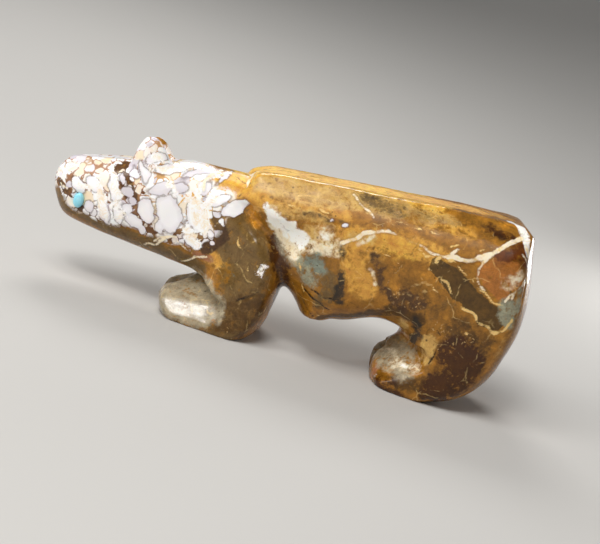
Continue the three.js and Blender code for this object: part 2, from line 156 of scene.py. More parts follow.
# Each zone is given by its path, reach, edge and share.
ZONES: dict[Tone, tuple[Zone, ...]] = {
    Tone.GOLD: (
        Zone(((222, 180), (240, 184), (250, 192)), 2.0, 1.1),
        Zone(((256, 169), (330, 180), (430, 198)), 4.8, 1.5, 0.85),
        Zone(((384, 246), (412, 253)), 1.6, 1.3, 0.95),
        Zone(((352, 246), (372, 244), (384, 250)), 0.9, 0.9, 0.7),
        Zone(((284, 208), (306, 212)), 0.7, 0.7, 0.6),
        Zone(((338, 256), (350, 262), (352, 290)), 0.9, 1.1, 0.6),
    ),
    Tone.OCHRE: (
        Zone(((222, 192), (262, 200)), 2.6, 1.5),
        Zone(((420, 198), (500, 216)), 2.6, 1.5, 0.8),
        Zone(((420, 224), (470, 234)), 1.5, 1.5, 0.7),
        Zone(((262, 178), (262, 196)), 1.1, 1.1, 0.7),
        Zone(((354, 266), (364, 286)), 2.6, 1.7, 0.95),
        Zone(((350, 250), (376, 256)), 1.7, 1.5, 0.85),
        Zone(((275, 203), (345, 214)), 1.5, 1.1, 0.75),
        Zone(((345, 232), (400, 244), (440, 256)), 1.9, 1.5),
        Zone(((212, 257), (224, 262)), 1.7, 0.9, 0.95),
    ),
    Tone.TAN: (
        Zone(((280, 200), (340, 208)), 0.9, 0.9, 0.6),
        Zone(((276, 208), (300, 215), (322, 219)), 1.3, 1.1, 0.75),
        Zone(((264, 184), (300, 190), (360, 200), (400, 208)), 2.4, 1.1, 0.95),
        Zone(((400, 210), (450, 220)), 2.0, 2.4, 0.75),
        Zone(((310, 236), (342, 246)), 1.7, 1.3, 0.8),
        Zone(((428, 340), (426, 356)), 1.7, 0.9),
        Zone(((403, 320), (402, 342)), 1.1, 0.7, 0.8),
        Zone(((508, 330), (499, 352), (479, 378)), 1.1, 1.1, 0.4),
        Zone(((355, 236), (372, 240)), 1.1, 0.9, 0.8),
    ),
    Tone.OLIVE: (
        Zone(((234, 224), (246, 262), (240, 300), (226, 322)), 4.5, 2.2),
        Zone(((60, 196), (78, 208), (110, 230), (150, 246), (200, 268)), 1.9, 1.5, 1.1),
        Zone(((181, 289), (206, 292)), 2.6, 0.9, 0.6),
        Zone(((330, 275), (322, 300)), 2.0, 1.5, 0.85),
        Zone(((366, 198), (400, 212)), 1.7, 1.7, 0.8),
        Zone(((400, 212), (455, 222)), 1.7, 1.5, 0.45),
        Zone(((455, 300), (430, 315)), 2.2, 2.2, 0.4),
    ),
    Tone.ORANGE: (
        Zone(((250, 206), (258, 224)), 1.3, 1.5, 0.7),
        Zone(((500, 222), (508, 226)), 0.7, 0.7, 0.7),
    ),
    Tone.UMBER: (
        Zone(((306, 216), (345, 224)), 0.7, 0.6, 0.7),
        Zone(((466, 222), (502, 236)), 1.7, 1.9, 0.6),
        # Partly the stone's brown and partly painted shade low on the foreleg.
        Zone(((214, 322), (250, 324)), 1.7, 1.1, 0.8),
        Zone(((262, 286), (252, 312)), 1.1, 1.1, 0.6),
        # Partly the stone's brown and partly painted shade under the hind paw.
        Zone(((392, 380), (424, 386)), 1.3, 0.9, 0.95),
        Zone(((440, 264), (446, 268)), 1.1, 0.6, 0.5),
        # Partly the stone's brown and partly painted shade along the underside of the belly.
        Zone(((322, 318), (360, 315), (400, 311), (418, 320)), 1.2, 0.7, 1.1),
        # Partly the stone's brown and partly painted shade: this zone and the next darken the fore paw
        # and the foot.
        Zone(((186, 328), (210, 338), (240, 336)), 1.3, 1.1, 0.8),
        Zone(((214, 314), (256, 306)), 2.6, 1.9, 0.75),
        # Partly the stone's brown and partly painted shade: this zone and the next darken the haunch.
        Zone(((395, 268), (425, 300), (440, 315)), 2.2, 2.6, 0.55),
        Zone(((440, 290), (462, 322), (490, 340)), 1.7, 1.7, 0.4),
        Zone(((88, 226), (150, 256), (196, 274)), 0.9, 0.9, 0.6),
        # Partly the stone's brown and partly painted shade low on the hind leg.
        Zone(((458, 330), (480, 350)), 2.6, 1.9, 0.85),
    ),
    Tone.OXBLOOD: (
        # Partly the stone's dark red-brown and partly painted shade on the low thigh.
        Zone(((456, 354), (468, 368), (440, 390)), 3.3, 2.2, 1.2),
        # Painted shade in the deep groove behind the foreleg.
        Zone(((274, 240), (280, 262), (284, 282), (284, 300)), 1.7, 1.3),
        # Partly the stone's dark red-brown and partly painted shade: this zone and the next darken the
        # underside of the hind paw.
        Zone(((376, 386), (400, 396), (430, 402)), 1.3, 1.1, 0.9),
        Zone(((374, 380), (394, 383)), 0.9, 0.9, 0.75),
        Zone(((488, 228), (510, 238)), 1.1, 0.9, 0.8),
    ),
    Tone.ROSE: (
        Zone(((376, 366), (372, 374)), 1.1, 0.9),
        Zone(((196, 252), (210, 258)), 0.9, 0.7),
    ),
    Tone.PLUM: (
        Zone(((377, 258), (379, 266)), 0.9, 0.9, 0.85),
        Zone(((379, 272), (382, 284)), 0.8, 0.7, 0.9),
        Zone(((386, 292), (402, 308)), 1.2, 0.9, 0.9),
        Zone(((407, 298), (419, 304)), 1.5, 1.1, 0.9),
        Zone(((218, 220), (222, 236), (205, 246)), 1.3, 0.7),
        Zone(((123, 168), (127, 186), (131, 200)), 1.5, 0.6),
        Zone(((60, 182), (66, 190)), 0.9, 0.6, 0.8),
    ),
    Tone.COPPER: (
        Zone(((484, 272), (504, 260)), 1.3, 0.6),
        Zone(((490, 284), (503, 294)), 1.1, 0.6),
        Zone(((500, 276), (512, 270), (516, 282)), 1.5, 0.6),
    ),
    Tone.MAHOGANY: (
        Zone(((502, 258), (520, 248), (526, 264)), 1.3, 1.1),
        Zone(((494, 276), (500, 284)), 0.5, 0.6, 0.5),
        Zone(((140, 190), (143, 193)), 0.7, 0.4),
    ),
    Tone.BASALT: (
        Zone(((438, 266), (448, 275)), 1.5, 0.6),
        Zone(((450, 277), (462, 291)), 2.0, 0.6),
        Zone(((466, 294), (478, 307)), 1.8, 0.6),
        Zone(((482, 310), (494, 320)), 2.0, 0.6),
    ),
    Tone.LICHEN: (
        Zone(((508, 303), (510, 322)), 1.5, 0.9, 0.9),
        Zone(((522, 290), (518, 312)), 0.7, 0.6, 0.8),
        Zone(((298, 258), (310, 280)), 1.7, 1.5, 0.85),
    ),
    Tone.DOVE: (
        Zone(((166, 294), (202, 303)), 4.5, 1.1, through=True),
        Zone(((168, 286), (190, 284)), 3.7, 0.9, through=True),
        Zone(((386, 350), (402, 360)), 3.0, 1.5, 0.9, through=True),
        Zone(((280, 240), (290, 258)), 1.1, 1.5, 0.95),
    ),
    Tone.CREAM: (
        # Painted highlight: this zone and the next paint the pale sheen in the hollow behind the
        # foreleg.
        Zone(((272, 214), (282, 232), (294, 250)), 1.4, 1.2, 1.15),
        Zone(((292, 242), (312, 246), (328, 248)), 1.3, 1.1, 0.85),
        Zone(((322, 234), (340, 246)), 1.5, 1.3, 0.62),
        Zone(((334, 244), (337, 258)), 0.9, 0.7, 0.6),
        Zone(((374, 272), (376, 284)), 0.5, 0.4, 0.95),
        # Painted highlight: a pale soft sheen on the copper-coloured patch of the rump.
        Zone(((507, 286), (518, 279)), 0.9, 1.7, 0.9),
        # Painted light: the top of the hind paw made paler where light falls on it.
        Zone(((380, 348), (392, 352)), 1.1, 1.5, 0.45),
        Zone(((360, 244), (372, 236)), 0.7, 0.7, 0.7),
        # Painted highlight on the top of the hind paw.
        Zone(((396, 362), (416, 366)), 1.5, 1.3, 0.8),
    ),
    Tone.CHALK: (
        # Painted highlight: this zone and the next three paint the bright sheen in the hollow behind
        # the foreleg.
        Zone(((265, 207), (271, 213)), 0.8, 0.6, 1.2),
        Zone(((273, 216), (281, 220)), 1.2, 0.8, 1.5),
        Zone(((281, 223), (289, 228)), 1.3, 0.9, 1.5),
        Zone(((289, 233), (303, 240)), 1.3, 0.9, 1.25),
        Zone(((320, 233), (326, 237)), 0.6, 0.6, 0.8),
        # Painted highlight along the rump's upper rear corner.
        Zone(((512, 222), (520, 230), (527, 244), (529, 256)), 0.7, 0.3),
        # Painted highlight: this zone and the next paint the glint on the hind paw.
        Zone(((402, 364), (414, 368)), 0.6, 0.7, 0.8),
        Zone(((372, 378), (376, 380)), 0.4, 0.4, 0.8),
    ),
    Tone.MIST: (
        Zone(((230, 271), (232, 274)), 0.4, 0.4, 0.7),
        Zone(((314, 259), (320, 268)), 1.5, 0.9, 0.95),
    ),
    Tone.SLATE: (
        Zone(((344, 251), (343, 262)), 0.8, 0.7, 0.9),
        Zone(((342, 270), (342, 282)), 0.8, 0.7, 0.95),
        Zone(((340, 288), (335, 298)), 1.1, 0.9, 0.95),
        Zone(((331, 300), (340, 302)), 0.7, 0.7),
        Zone(((416, 321), (418, 331), (413, 341)), 1.0, 0.9, 0.9),
        Zone(((364, 194), (380, 200), (396, 206)), 0.9, 1.1, 0.42),
    ),
}

# Each nodule is given by its two tips, width and shade.
NODULES: tuple[Nodule, ...] = (
    Nodule((165, 193.5), (171, 232), 4.1, 0.25),
    Nodule((143.5, 199), (149.5, 223.5), 2.7, 0.35),
    Nodule((125.5, 213.5), (141, 227), 1.9, 0.4),
    Nodule((122, 207), (133, 210.5), 1.4, 0.3),
    Nodule((136, 229.5), (145.5, 229.5), 1.1, 0.5),
    Nodule((158.5, 221), (162, 234.5), 1.3, 0.3),
    Nodule((86.5, 202), (90.5, 213.5), 1.8, 0.5),
    Nodule((221.5, 214.5), (249, 203.5), 2.9, 0.05),
    Nodule((211.5, 204), (230.5, 196), 1.7, 0),
    Nodule((183.5, 236), (200, 247), 1.7, 0.05),
    Nodule((207, 234), (214, 234), 1.4, 0.1),
    Nodule((209, 243.5), (214.5, 243.5), 1.0, 0.4),
    Nodule((193.5, 199), (199, 231.5), 3.2, 0),
    Nodule((155, 172), (191, 167), 1.7, 0),
    Nodule((183.5, 176.5), (214, 169), 1.6, 0.55),
    Nodule((148.5, 193), (171, 184), 1.9, 0.6),
    Nodule((172.5, 188), (187.5, 186.5), 2.2, 0.8),
    Nodule((112.5, 174.5), (117, 203.5), 1.6, 0),
    Nodule((101, 194.5), (106.5, 223.5), 2.2, 0.7),
    Nodule((115.5, 208), (120, 222.5), 1.4, 0.15),
    Nodule((133.5, 168), (137, 178.5), 1.2, 0),
    Nodule((142, 161.5), (145, 182), 1.3, 0.15),
    Nodule((122.5, 174), (124, 182.5), 1.1, 0.6),
    Nodule((123, 187), (132, 195.5), 1.4, 0.9),
    Nodule((127, 197.5), (136.5, 204), 1.1, 0.95),
    Nodule((149, 160), (167, 156), 1.7, 0.1),
    Nodule((218, 183), (236, 171), 1.0, 0.6),
    Nodule((202, 196), (210, 181), 1.1, 0.5),
    Nodule((88, 176), (97, 190), 2.2, 0),
    Nodule((74, 178), (82, 194), 1.9, 0.05),
    Nodule((176, 200), (181, 222), 1.0, 0.35),
    Nodule((186.5, 222), (189, 232), 0.9, 0.2),
    Nodule((329, 220.5), (334.5, 218.5), 0.6, 0.1),
    Nodule((341.5, 227), (347, 225), 0.6, 0.1),
    Nodule((270, 197), (273, 199), 0.6, 0),
)

# Each line is given by its path and width. Blooms, flecks, dull and packed places are
# broad bands.
VEINS_AND_HIGHLIGHTS: tuple[Line, ...] = (
    # Painted highlight: a pale line along the front edge of the back block, drawn as a vein.
    Line(((248, 187), (251, 179.5), (253.5, 174), (257, 170), (262, 168.5)), 0.56),
    Line(((60, 182), (68, 189)), 0.17),
    Line(((139.5, 246), (148, 242.5), (156, 244.5), (167, 237.5)), 0.32),
    Line(((153, 240.5), (160, 238), (170, 236.5), (178, 237)), 0.24),
    Line(((177.5, 241), (186, 251), (196, 257.5), (206, 257)), 0.19),
    Line(((181, 262), (196, 257)), 0.19),
    Line(((204, 190), (205, 180), (213, 174), (224, 170)), 0.41),
    Line(((353, 194.5), (362.5, 204), (372, 215.5), (383.5, 225)), 0.33),
    Line((
        (341, 243), (349, 241), (356.5, 239.5), (364.5, 233.5), (374, 231.5), (387.5, 231),
    ), 0.63),
    Line((
        (387.5, 231), (393, 233), (406.5, 237.5), (423.5, 248), (433, 255), (448.5, 255.5),
    ), 0.22),
    Line((
        (448.5, 255.5), (460, 260.5), (469.5, 260.5), (481, 258.5), (494.5, 253), (508, 245),
        (519.5, 238.5),
    ), 0.82),
    Line(((487, 258.5), (478, 268), (477, 280), (484, 292)), 0.30),
    Line(((504, 302), (512, 294), (526, 279)), 0.19),
    Line(((522, 252), (527, 262), (528, 276)), 0.22),
    Line(((451, 253), (459, 249.5), (470, 247)), 0.37),
    Line(((527, 280.5), (515.5, 291), (511, 299)), 0.20),
    Line(((383.5, 225), (387.5, 231)), 0.22),
    # Painted highlight: a pale band along the rump's rear edge, drawn as a vein.
    Line(((526, 246), (529, 258), (529, 270), (527, 281)), 0.67),
)

THREADS: tuple[Line, ...] = (
    Line(((262, 198), (283, 203), (306, 206), (330, 212)), 0.15),
    Line(((388, 222), (402, 224), (420, 229), (440, 233)), 0.15),
    Line(((396, 233), (412, 236), (430, 246), (447, 254)), 0.17),
    Line(((402, 240), (418, 250), (434, 260), (441, 270)), 0.17),
    Line(((420, 228), (436, 240), (452, 246)), 0.15),
    Line(((447, 246), (458, 244), (470, 250), (486, 252)), 0.19),
    Line(((326, 246), (340, 251), (348, 252)), 0.17),
    Line(((449, 259), (461, 269), (474, 283), (487, 298), (501, 306)), 0.37),
    Line((
        (434, 261.5), (431.5, 270), (437, 276), (446, 284), (456, 297), (463, 308), (475, 316),
        (484, 325), (495, 333), (505, 329), (512, 319),
    ), 0.43),
    Line(((434, 261.5), (440, 256.5)), 0.35),
    Line(((300, 196), (320, 198), (344, 206)), 0.13),
    Line(((360, 250), (386, 256), (400, 262)), 0.13),
    Line(((414, 262), (420, 276), (432, 286), (446, 300)), 0.13),
    Line(((440, 322), (452, 330), (470, 334)), 0.13),
    Line(((236, 240), (246, 256), (250, 272)), 0.13),
    Line(((270, 300), (262, 316), (252, 330)), 0.15),
    Line(((300, 262), (300, 276), (305, 296), (318, 316)), 0.22),
)

CRACKS: tuple[Line, ...] = (
    Line(((236, 301), (247, 297), (258, 292)), 0.35),
    Line(((304, 289), (310, 297), (318, 303), (330, 310)), 0.30),
    Line(((311, 290), (322, 296), (331, 299)), 0.24),
    Line(((302, 300), (312, 316), (318, 321)), 0.22),
    Line(((526, 280), (521, 310)), 0.19),
    Line(((437, 330), (441, 342), (434, 356), (428, 364)), 0.20),
)

BLOOMS: tuple[Line, ...] = (
    Line(((113, 166), (115, 182), (116, 202), (117, 218)), 1.3),
    Line(((119, 208), (126, 215)), 0.9),
    Line(((98, 184), (103, 200), (103, 217)), 1.9),
    Line(((191, 200), (200, 212), (203, 226)), 2.4),
    Line(((187, 232), (196, 245)), 1.5),
    Line(((204, 207), (214, 201)), 1.3),
    Line(((199, 204), (199, 190), (207, 179), (220, 173), (231, 173)), 1.0),
    Line(((150, 168), (185, 168)), 1.5),
    Line(((60, 172), (74, 166)), 1.9),
    Line(((152, 158), (162, 156)), 1.1),
    Line(((210, 198), (226, 194)), 1.1),
    Line(((54, 185), (60, 188)), 0.4),
    Line(((53, 190), (55, 198)), 0.4),
    Line(((259, 273), (265, 267)), 0.8),
    Line(((78, 182), (86, 190)), 1.3),
    Line(((168, 182), (178, 192)), 1.1),
)

DULL_BANDS: tuple[Line, ...] = (
    Line(((248, 196), (300, 206), (376, 224), (430, 240), (500, 256)), 3.3),
    Line(((150, 178), (185, 180), (236, 198)), 2.6),
    Line(((226, 174), (240, 178), (249, 184)), 2.2),
    Line(((262, 171), (330, 182), (420, 198), (480, 210)), 2.6),
    Line(((380, 390), (402, 377)), 1.9),
)

FLECKS: tuple[Line, ...] = (
    Line(((225, 333), (262, 318)), 1.9),
    Line(((440, 350), (470, 340)), 1.9),
    Line(((296, 212), (308, 218)), 1.5),
    Line(((262, 268), (262, 270)), 1.9),
    Line(((398, 296), (418, 306)), 2.6),
    Line(((384, 198), (400, 206)), 1.5),
    Line(((436, 326), (446, 340)), 1.9),
    Line(((300, 262), (306, 276)), 1.1),
    Line(((405, 340), (412, 352)), 1.5),
    Line(((298, 238), (318, 252)), 2.2),
)

PACKED_HEAD: tuple[Line, ...] = (
    Line(((64, 172), (90, 162), (130, 165), (185, 168), (200, 171)), 5.2),
    Line(((62, 174), (82, 181)), 5.6),
    Line(((84, 186), (108, 192)), 10.0),
    Line(((108, 190), (160, 200)), 12.3),
    Line(((160, 203), (190, 212)), 13.0),
    Line(((196, 200), (222, 204)), 5.2),
    Line(((150, 165), (150, 145)), 6.7),
)


def linear_colour(code: str) -> tuple[float, float, float, float]:
    """Turns an sRGB hex colour to linear light.

    Args:
        code: A colour such as "#A0B0C0".

    Returns:
        Red, green, blue and an alpha of 1.
    """
    shares = [int(code[i:i + 2], 16) / 255 for i in (1, 3, 5)]
    light = [s / 12.92 if s <= 0.04045 else ((s + 0.055) / 1.055) ** 2.4 for s in shares]
    return (*light, 1.0)


def ease(low: float, high: float, values: np.ndarray) -> np.ndarray:
    """Rises smoothly from 0 at low to 1 at high."""
    t = np.clip((values - low) / (high - low), 0, 1)
    return t * t * (3 - 2 * t)


def distance_to_path(points: np.ndarray, path: np.ndarray) -> np.ndarray:
    """Measures how far each point lies from a path of straight runs.

    Args:
        points: One row of x, y and z for each point.
        path: One such row or more for the path, in the same unit.

    Returns:
        One distance for each point.
    """
    places = path if len(path) > 1 else np.repeat(path, 2, axis=0)
    nearest = np.full(len(points), np.inf)
    for start, end in zip(places, places[1:]):
        run = end - start
        share = np.clip((points - start) @ run / max(run @ run, 1e-9), 0, 1)
        away = points - start - share[:, None] * run
        nearest = np.minimum(nearest, np.linalg.norm(away, axis=1))
    return nearest


def merged_copy(node: str) -> bmesh.types.BMesh:
    """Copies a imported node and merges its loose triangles' corners.

    Args:
        node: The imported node's name.

    Returns:
        The copy, for the caller to free.
    """
    copy = bmesh.new()
    copy.from_mesh(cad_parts[node].data)
    bmesh.ops.remove_doubles(copy, verts=copy.verts, dist=0.001 * MM)
    return copy


def skin_of(node: str) -> bvhtree.BVHTree:
    """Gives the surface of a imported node, to be searched.

    Args:
        node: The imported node's name.

    Returns:
        The surface, in metres.
    """
    stone = merged_copy(node)
    skin = bvhtree.BVHTree.FromBMesh(stone)
    stone.free()
    return skin


@dataclass(frozen=True)
class Viewpoint:
    """Where the photograph was taken from. Lengths are in metres and angles in degrees.

    focal and the sides of the picture are in pixels of the photograph.
    """

    target: Place = (0.0036, 0.0, 0.014)
    distance: float = 0.230
    height: float = 12.0
    roll: float = 18.0
    focal: float = 1236.0
    picture: Pixel = (600.0, 544.0)

    def placement(self) -> Matrix:
        """Works out how the camera stands.

        Returns:
            Its place and turn.
        """
        height, roll = math.radians(self.height), math.radians(self.roll)
        away = Vector((0, -math.cos(height), math.sin(height))) * self.distance
        return (Matrix.Translation(Vector(self.target) + away)
                @ Matrix.Rotation(math.pi / 2 - height, 4, "X")
                @ Matrix.Rotation(roll, 4, "Z"))

    def sight(self, pixel: Pixel) -> tuple[Vector, Vector]:
        """Finds the line of sight through a pixel.

        Args:
            pixel: The place in the photograph, from its upper left corner.

        Returns:
            Where the line starts, and its heading.
        """
        placement = self.placement()
        across, down = (place - side / 2 for place, side in zip(pixel, self.picture))
        heading = placement.to_3x3() @ Vector((across, -down, -self.focal))
        return placement.translation, heading.normalized()


class SeenStone:
    """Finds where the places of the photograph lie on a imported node."""

    def __init__(self, node: str, viewpoint: Viewpoint) -> None:
        """Takes the node's name and where the photograph was taken from."""
        self._skin = skin_of(node)
        self._viewpoint = viewpoint

    def rows(self, path: tuple[Pixel, ...]) -> np.ndarray:
        """Places a path on the surface, or at its outline where the line of sight passes by.

        Args:
            path: Places of the photograph.

        Returns:
            One row of x, y and z in millimetres for each.
        """
        found = []
        for pixel in path:
            eye, heading = self._viewpoint.sight(pixel)
            hit = self._skin.ray_cast(eye, heading)[0]
            found.append(hit or self._skin.find_nearest(eye + heading * self._viewpoint.distance)[0])
        return np.array(found, float) / MM


class LeftFlank:
    """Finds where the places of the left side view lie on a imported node."""

    def __init__(self, node: str) -> None:
        """Takes the node's name."""
        self._skin = skin_of(node)
        self._outside = 2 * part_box(node)[0][1]

    def rows(self, path: tuple[SideView, ...]) -> np.ndarray:
        """Places a path on the surface.

        Args:
            path: Places of the side view, as x and z in millimetres.

        Returns:
            One row of x, y and z in millimetres for each.
        """
        found = []
        for x, z in path:
            start = Vector((x * MM, self._outside, z * MM))
            found.append(self._skin.ray_cast(start, Vector((0, 1, 0)))[0])
        return np.array(found, float) / MM


@dataclass(frozen=True)
class Ripple:
    """A seeded waviness through space, made of plane waves, with its wavelength in millimetres.

    amount is how much it bends or lifts what it is used on.
    """

    wavelength: float
    seed: int
    amount: float = 1.0
    waves: int = 16

    def at(self, points: np.ndarray) -> np.ndarray:
        """Gives the waviness at each point.

        Args:
            points: Rows of x, y and z in millimetres.

        Returns:
            One value for each point, mostly between -amount and amount.
        """
        draw = np.random.default_rng(self.seed)
        headings = draw.normal(size=(self.waves, 3))
        headings /= np.linalg.norm(headings, axis=1)[:, None]
        lengths = self.wavelength * draw.uniform(0.7, 1.6, self.waves)
        phases = draw.uniform(0, 2 * math.pi, self.waves)
        turns = points @ (2 * math.pi * headings / lengths[:, None]).T + phases
        return self.amount * np.sin(turns).sum(axis=1) / math.sqrt(2 * self.waves)

    def push(self, points: np.ndarray) -> np.ndarray:
        """Gives three independent values for each point, to move it by."""
        axes = [replace(self, seed=self.seed + 101 * axis) for axis in (1, 2, 3)]
        return np.column_stack([ripple.at(points) for ripple in axes])


@dataclass(frozen=True)
class Markings:
    """Where the stone's tones, nodules, veins and cracks show, and the painted highlight and
    painted shade laid among them. Lengths are in millimetres.

    The right side's markings are those of the left, moved by right_shift and bent out of
    likeness by right_ripple. They take over where y goes from the first to the last of
    right_from, and turn is how smoothly places turn over in the middle. The other ripples bend
    the borders of the markings, and the sways are how far lines stray from their paths.
    farthest is the most that a distance is given as.
    """

    stone: SeenStone
    turn: float = 1.0
    right_from: tuple[float, float] = (-3.0, 7.0)
    right_shift: tuple[float, float] = (5.0, 1.5)
    right_ripple: Ripple = Ripple(9.0, 41, 1.6)
    wide_ripple: Ripple = Ripple(5.0, 11, 0.5)
    fine_ripple: Ripple = Ripple(1.8, 12, 0.22)
    pebble_ripple: Ripple = Ripple(3.2, 21, 0.3)
    grit_ripple: Ripple = Ripple(1.3, 22, 0.12)
    vein_ripple: Ripple = Ripple(3.0, 31)
    sway: float = 0.2
    thread_sway: float = 0.35
    loose_sway: float = 0.5
    fleck_edge: tuple[float, float] = (-0.8, 0.8)
    dull_edge: tuple[float, float] = (-1.0, 1.5)
    farthest: float = 9.0

    def to_left(self, rows: np.ndarray) -> np.ndarray:
        """Brings places over to the left half, turning smoothly across the middle.

        Args:
            rows: Places on the stone.

        Returns:
            The places on the left half.
        """
        moved = rows.copy()
        moved[:, 1] = -np.hypot(rows[:, 1], self.turn)
        return moved

    def fold(self, points: np.ndarray) -> np.ndarray:
        """Brings points of the hidden right side over to the left side's markings.

        Args:
            points: Places on the stone.

        Returns:
            The places whose markings they get: moved along and made wavy, so that the two
            sides are alike but not mirrored.
        """
        right = ease(*self.right_from, points[:, 1])[:, None]
        folded = self.to_left(points)
        folded[:, 0] += self.right_shift[0] * right[:, 0]
        folded[:, 2] += self.right_shift[1] * right[:, 0]
        return folded + right * self.right_ripple.push(points)

    def rows(self, path: tuple[Pixel, ...]) -> np.ndarray:
        """Places a path on the stone, on the left half."""
        return self.to_left(self.stone.rows(path))

    def tone_weights(self, points: np.ndarray) -> dict[Tone, np.ndarray]:
        """Says how much of each tone shows at each point.

        Args:
            points: Places on the stone.

        Returns:
            For each tone, a value from 0 up for each point.
        """
        straight = self.fold(points)
        wavy = straight + self.wide_ripple.push(points) + self.fine_ripple.push(points)
        veined = straight + self.sway * self.vein_ripple.push(points)
        weights = {tone: np.zeros(len(points)) for tone in Tone}
        for tone, zones in ZONES.items():
            places = veined if tone.crisp else wavy
            for zone in zones:
                axes = (1, 0 if zone.through else 1, 1)
                beyond = distance_to_path(places * axes, self.rows(zone.path) * axes) - zone.reach
                weight = zone.share * (1 - ease(-zone.edge, zone.edge, beyond))
                weights[tone] = np.maximum(weights[tone], weight)
        return weights

    def nodule_depth(self, points: np.ndarray) -> tuple[np.ndarray, np.ndarray]:
        """Measures how far each point lies outside the nearest nodule, negative inside it.

        Args:
            points: Places on the stone.

        Returns:
            The distance and the shade of that nodule, for each point.
        """
        wavy = self.fold(points) + self.pebble_ripple.push(points) + self.grit_ripple.push(points)
        nearest = np.full(len(points), self.farthest)
        shade = np.zeros(len(points))
        for nodule in NODULES:
            start, end = self.rows((nodule.tip, nodule.other_tip))
            half = max(np.linalg.norm(end - start) / 2, nodule.width / 2)
            heading = (end - start) / max(np.linalg.norm(end - start), 1e-9)
            from_middle = wavy - (start + end) / 2
            lengthways = from_middle @ heading
            across = np.linalg.norm(from_middle - lengthways[:, None] * heading, axis=1)
            size = np.hypot(lengthways / half, across / (nodule.width / 2))
            beyond = (size - 1) * nodule.width / 2
            shade = np.where(beyond < nearest, nodule.shade, shade)
            nearest = np.minimum(nearest, beyond)
        return nearest, shade

    def beyond(self, points: np.ndarray, lines: tuple[Line, ...], sway: float,
               through: bool = False) -> np.ndarray:
        """Measures how far each point lies outside the nearest line, negative inside it.

        Args:
            points: Places on the stone.
            lines: The veins, cracks or bands.
            sway: How far the lines stray from their straight runs.
            through: Whether they run through the whole width of the stone.

        Returns:
            One distance for each point.
        """
        axes = (1, 0 if through else 1, 1)
        wavy = (self.fold(points) + sway * self.vein_ripple.push(points)) * axes
        nearest = np.full(len(points), self.farthest)
        for line in lines:
            beyond = distance_to_path(wavy, self.rows(line.path) * axes) - line.width / 2
            nearest = np.minimum(nearest, beyond)
        return nearest

    def write(self, mesh: bpy.types.Mesh) -> None:
        """Keeps the markings on a mesh, as values that the stone's finish reads.

        Args:
            mesh: The stone's mesh, in metres.
        """
        points = vectors(mesh.vertices, "co") / MM
        values = {tone.name.lower(): weight for tone, weight in self.tone_weights(points).items()}
        values["nodule"], values["nodule_shade"] = self.nodule_depth(points)
        values["vein"] = self.beyond(points, VEINS_AND_HIGHLIGHTS, self.sway)
        values["thread"] = self.beyond(points, THREADS, self.thread_sway)
        values["crack"] = self.beyond(points, CRACKS, self.sway)
        values["packed"] = self.beyond(points, PACKED_HEAD, self.loose_sway, through=True)
        values["bloom"] = self.beyond(points, BLOOMS, self.loose_sway)
        flecks = self.beyond(points, FLECKS, self.loose_sway)
        values["flecks"] = 1 - ease(*self.fleck_edge, flecks)
        dull = self.beyond(points, DULL_BANDS, self.loose_sway)
        values["dull"] = 1 - ease(*self.dull_edge, dull)
        for name, value in values.items():
            attribute = mesh.attributes.new(name, "FLOAT", "POINT")
            attribute.data.foreach_set("value", value.astype(np.float32))


def vectors(items: bpy.types.bpy_prop_collection, name: str) -> np.ndarray:
    """Reads one vector from each item of a mesh.

    Args:
        items: The mesh's vertices or their normals.
        name: The item's value that is read.

    Returns:
        One row of x, y and z for each item.
    """
    flat = np.empty(3 * len(items), np.float32)
    items.foreach_get(name, flat)
    return flat.reshape(-1, 3).astype(float)


def add_node(tree: bpy.types.NodeTree, kind: str, inputs: dict | None = None,
             output: str | int | None = None, **settings) -> Socket | None:
    """Adds a shader node.

    Args:
        tree: The node tree that gets it.
        kind: The node's type as Blender names it, but without "ShaderNode", such as "Mix".
        inputs: For each input, named or numbered, a value, a hex colour or the output to link to it.
        output: Which output is wanted, named or numbered, or None for the first one in use.
        **settings: The node's own settings.

    Returns:
        That output, or None if the node has none.
    """
    node = tree.nodes.new("ShaderNode" + kind)
    for name, value in settings.items():
        setattr(node, name, value)
    for name, value in (inputs or {}).items():
        if isinstance(value, Socket):
            tree.links.new(value, node.inputs[name])
        elif isinstance(value, str):
            node.inputs[name].default_value = linear_colour(value)
        else:
            node.inputs[name].default_value = value
    if output is not None:
        return node.outputs[output]
    return next((socket for socket in node.outputs if socket.enabled), None)


def new_material(name: str) -> tuple[bpy.types.Material, bpy.types.NodeTree]:
    """Makes an empty material.

    Args:
        name: The material's name.

    Returns:
        The material and its node tree.
    """
    material = bpy.data.materials.new(name)
    material.use_nodes = True
    material.node_tree.nodes.clear()
    return material, material.node_tree


@dataclass(frozen=True)
class Mottle:
    """Small clouds of light and dark, with their size in millimetres."""

    size: float
    roughness: float
    strength: float


@dataclass(frozen=True)
class Hairs:
    """Veins as thin as hairs, around patches whose size is in millimetres.

    They grow clearer as the stone's wider clouds go from first to last.
    """

    size: float
    first: float
    last: float
    tint: str


@dataclass(frozen=True)
class Specks:
    """Dark specks, with the room for each in millimetres.

    core and rim are where in that room a speck starts to fade and is gone, as shares of it.
    They show where the stone's wider clouds are above a value.
    """

    room: float
    core: float
    rim: float
    above: float


@dataclass(frozen=True)
class Packing:
    """A layer of nodules that touch each other, with their size in millimetres.

    rarity is the share that is left out, and warp is how far their outlines bend.
    """

    size: float
    rarity: float
    warp: float


@dataclass(frozen=True)
class Base:
    """What every layer of the stone's colour is made with.

    add adds a node to the material. place is the place on the stone in millimetres, grain its
    fine cloudiness and drift its wider one, both from 0 to 1.
    """

    add: AddNode
    place: Socket
    grain: Socket
    drift: Socket


@dataclass(frozen=True)
class Head:
    """Where on the head a place is: how high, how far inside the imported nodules, how bare of them."""

    high: Socket
    inside: Socket
    bare: Socket


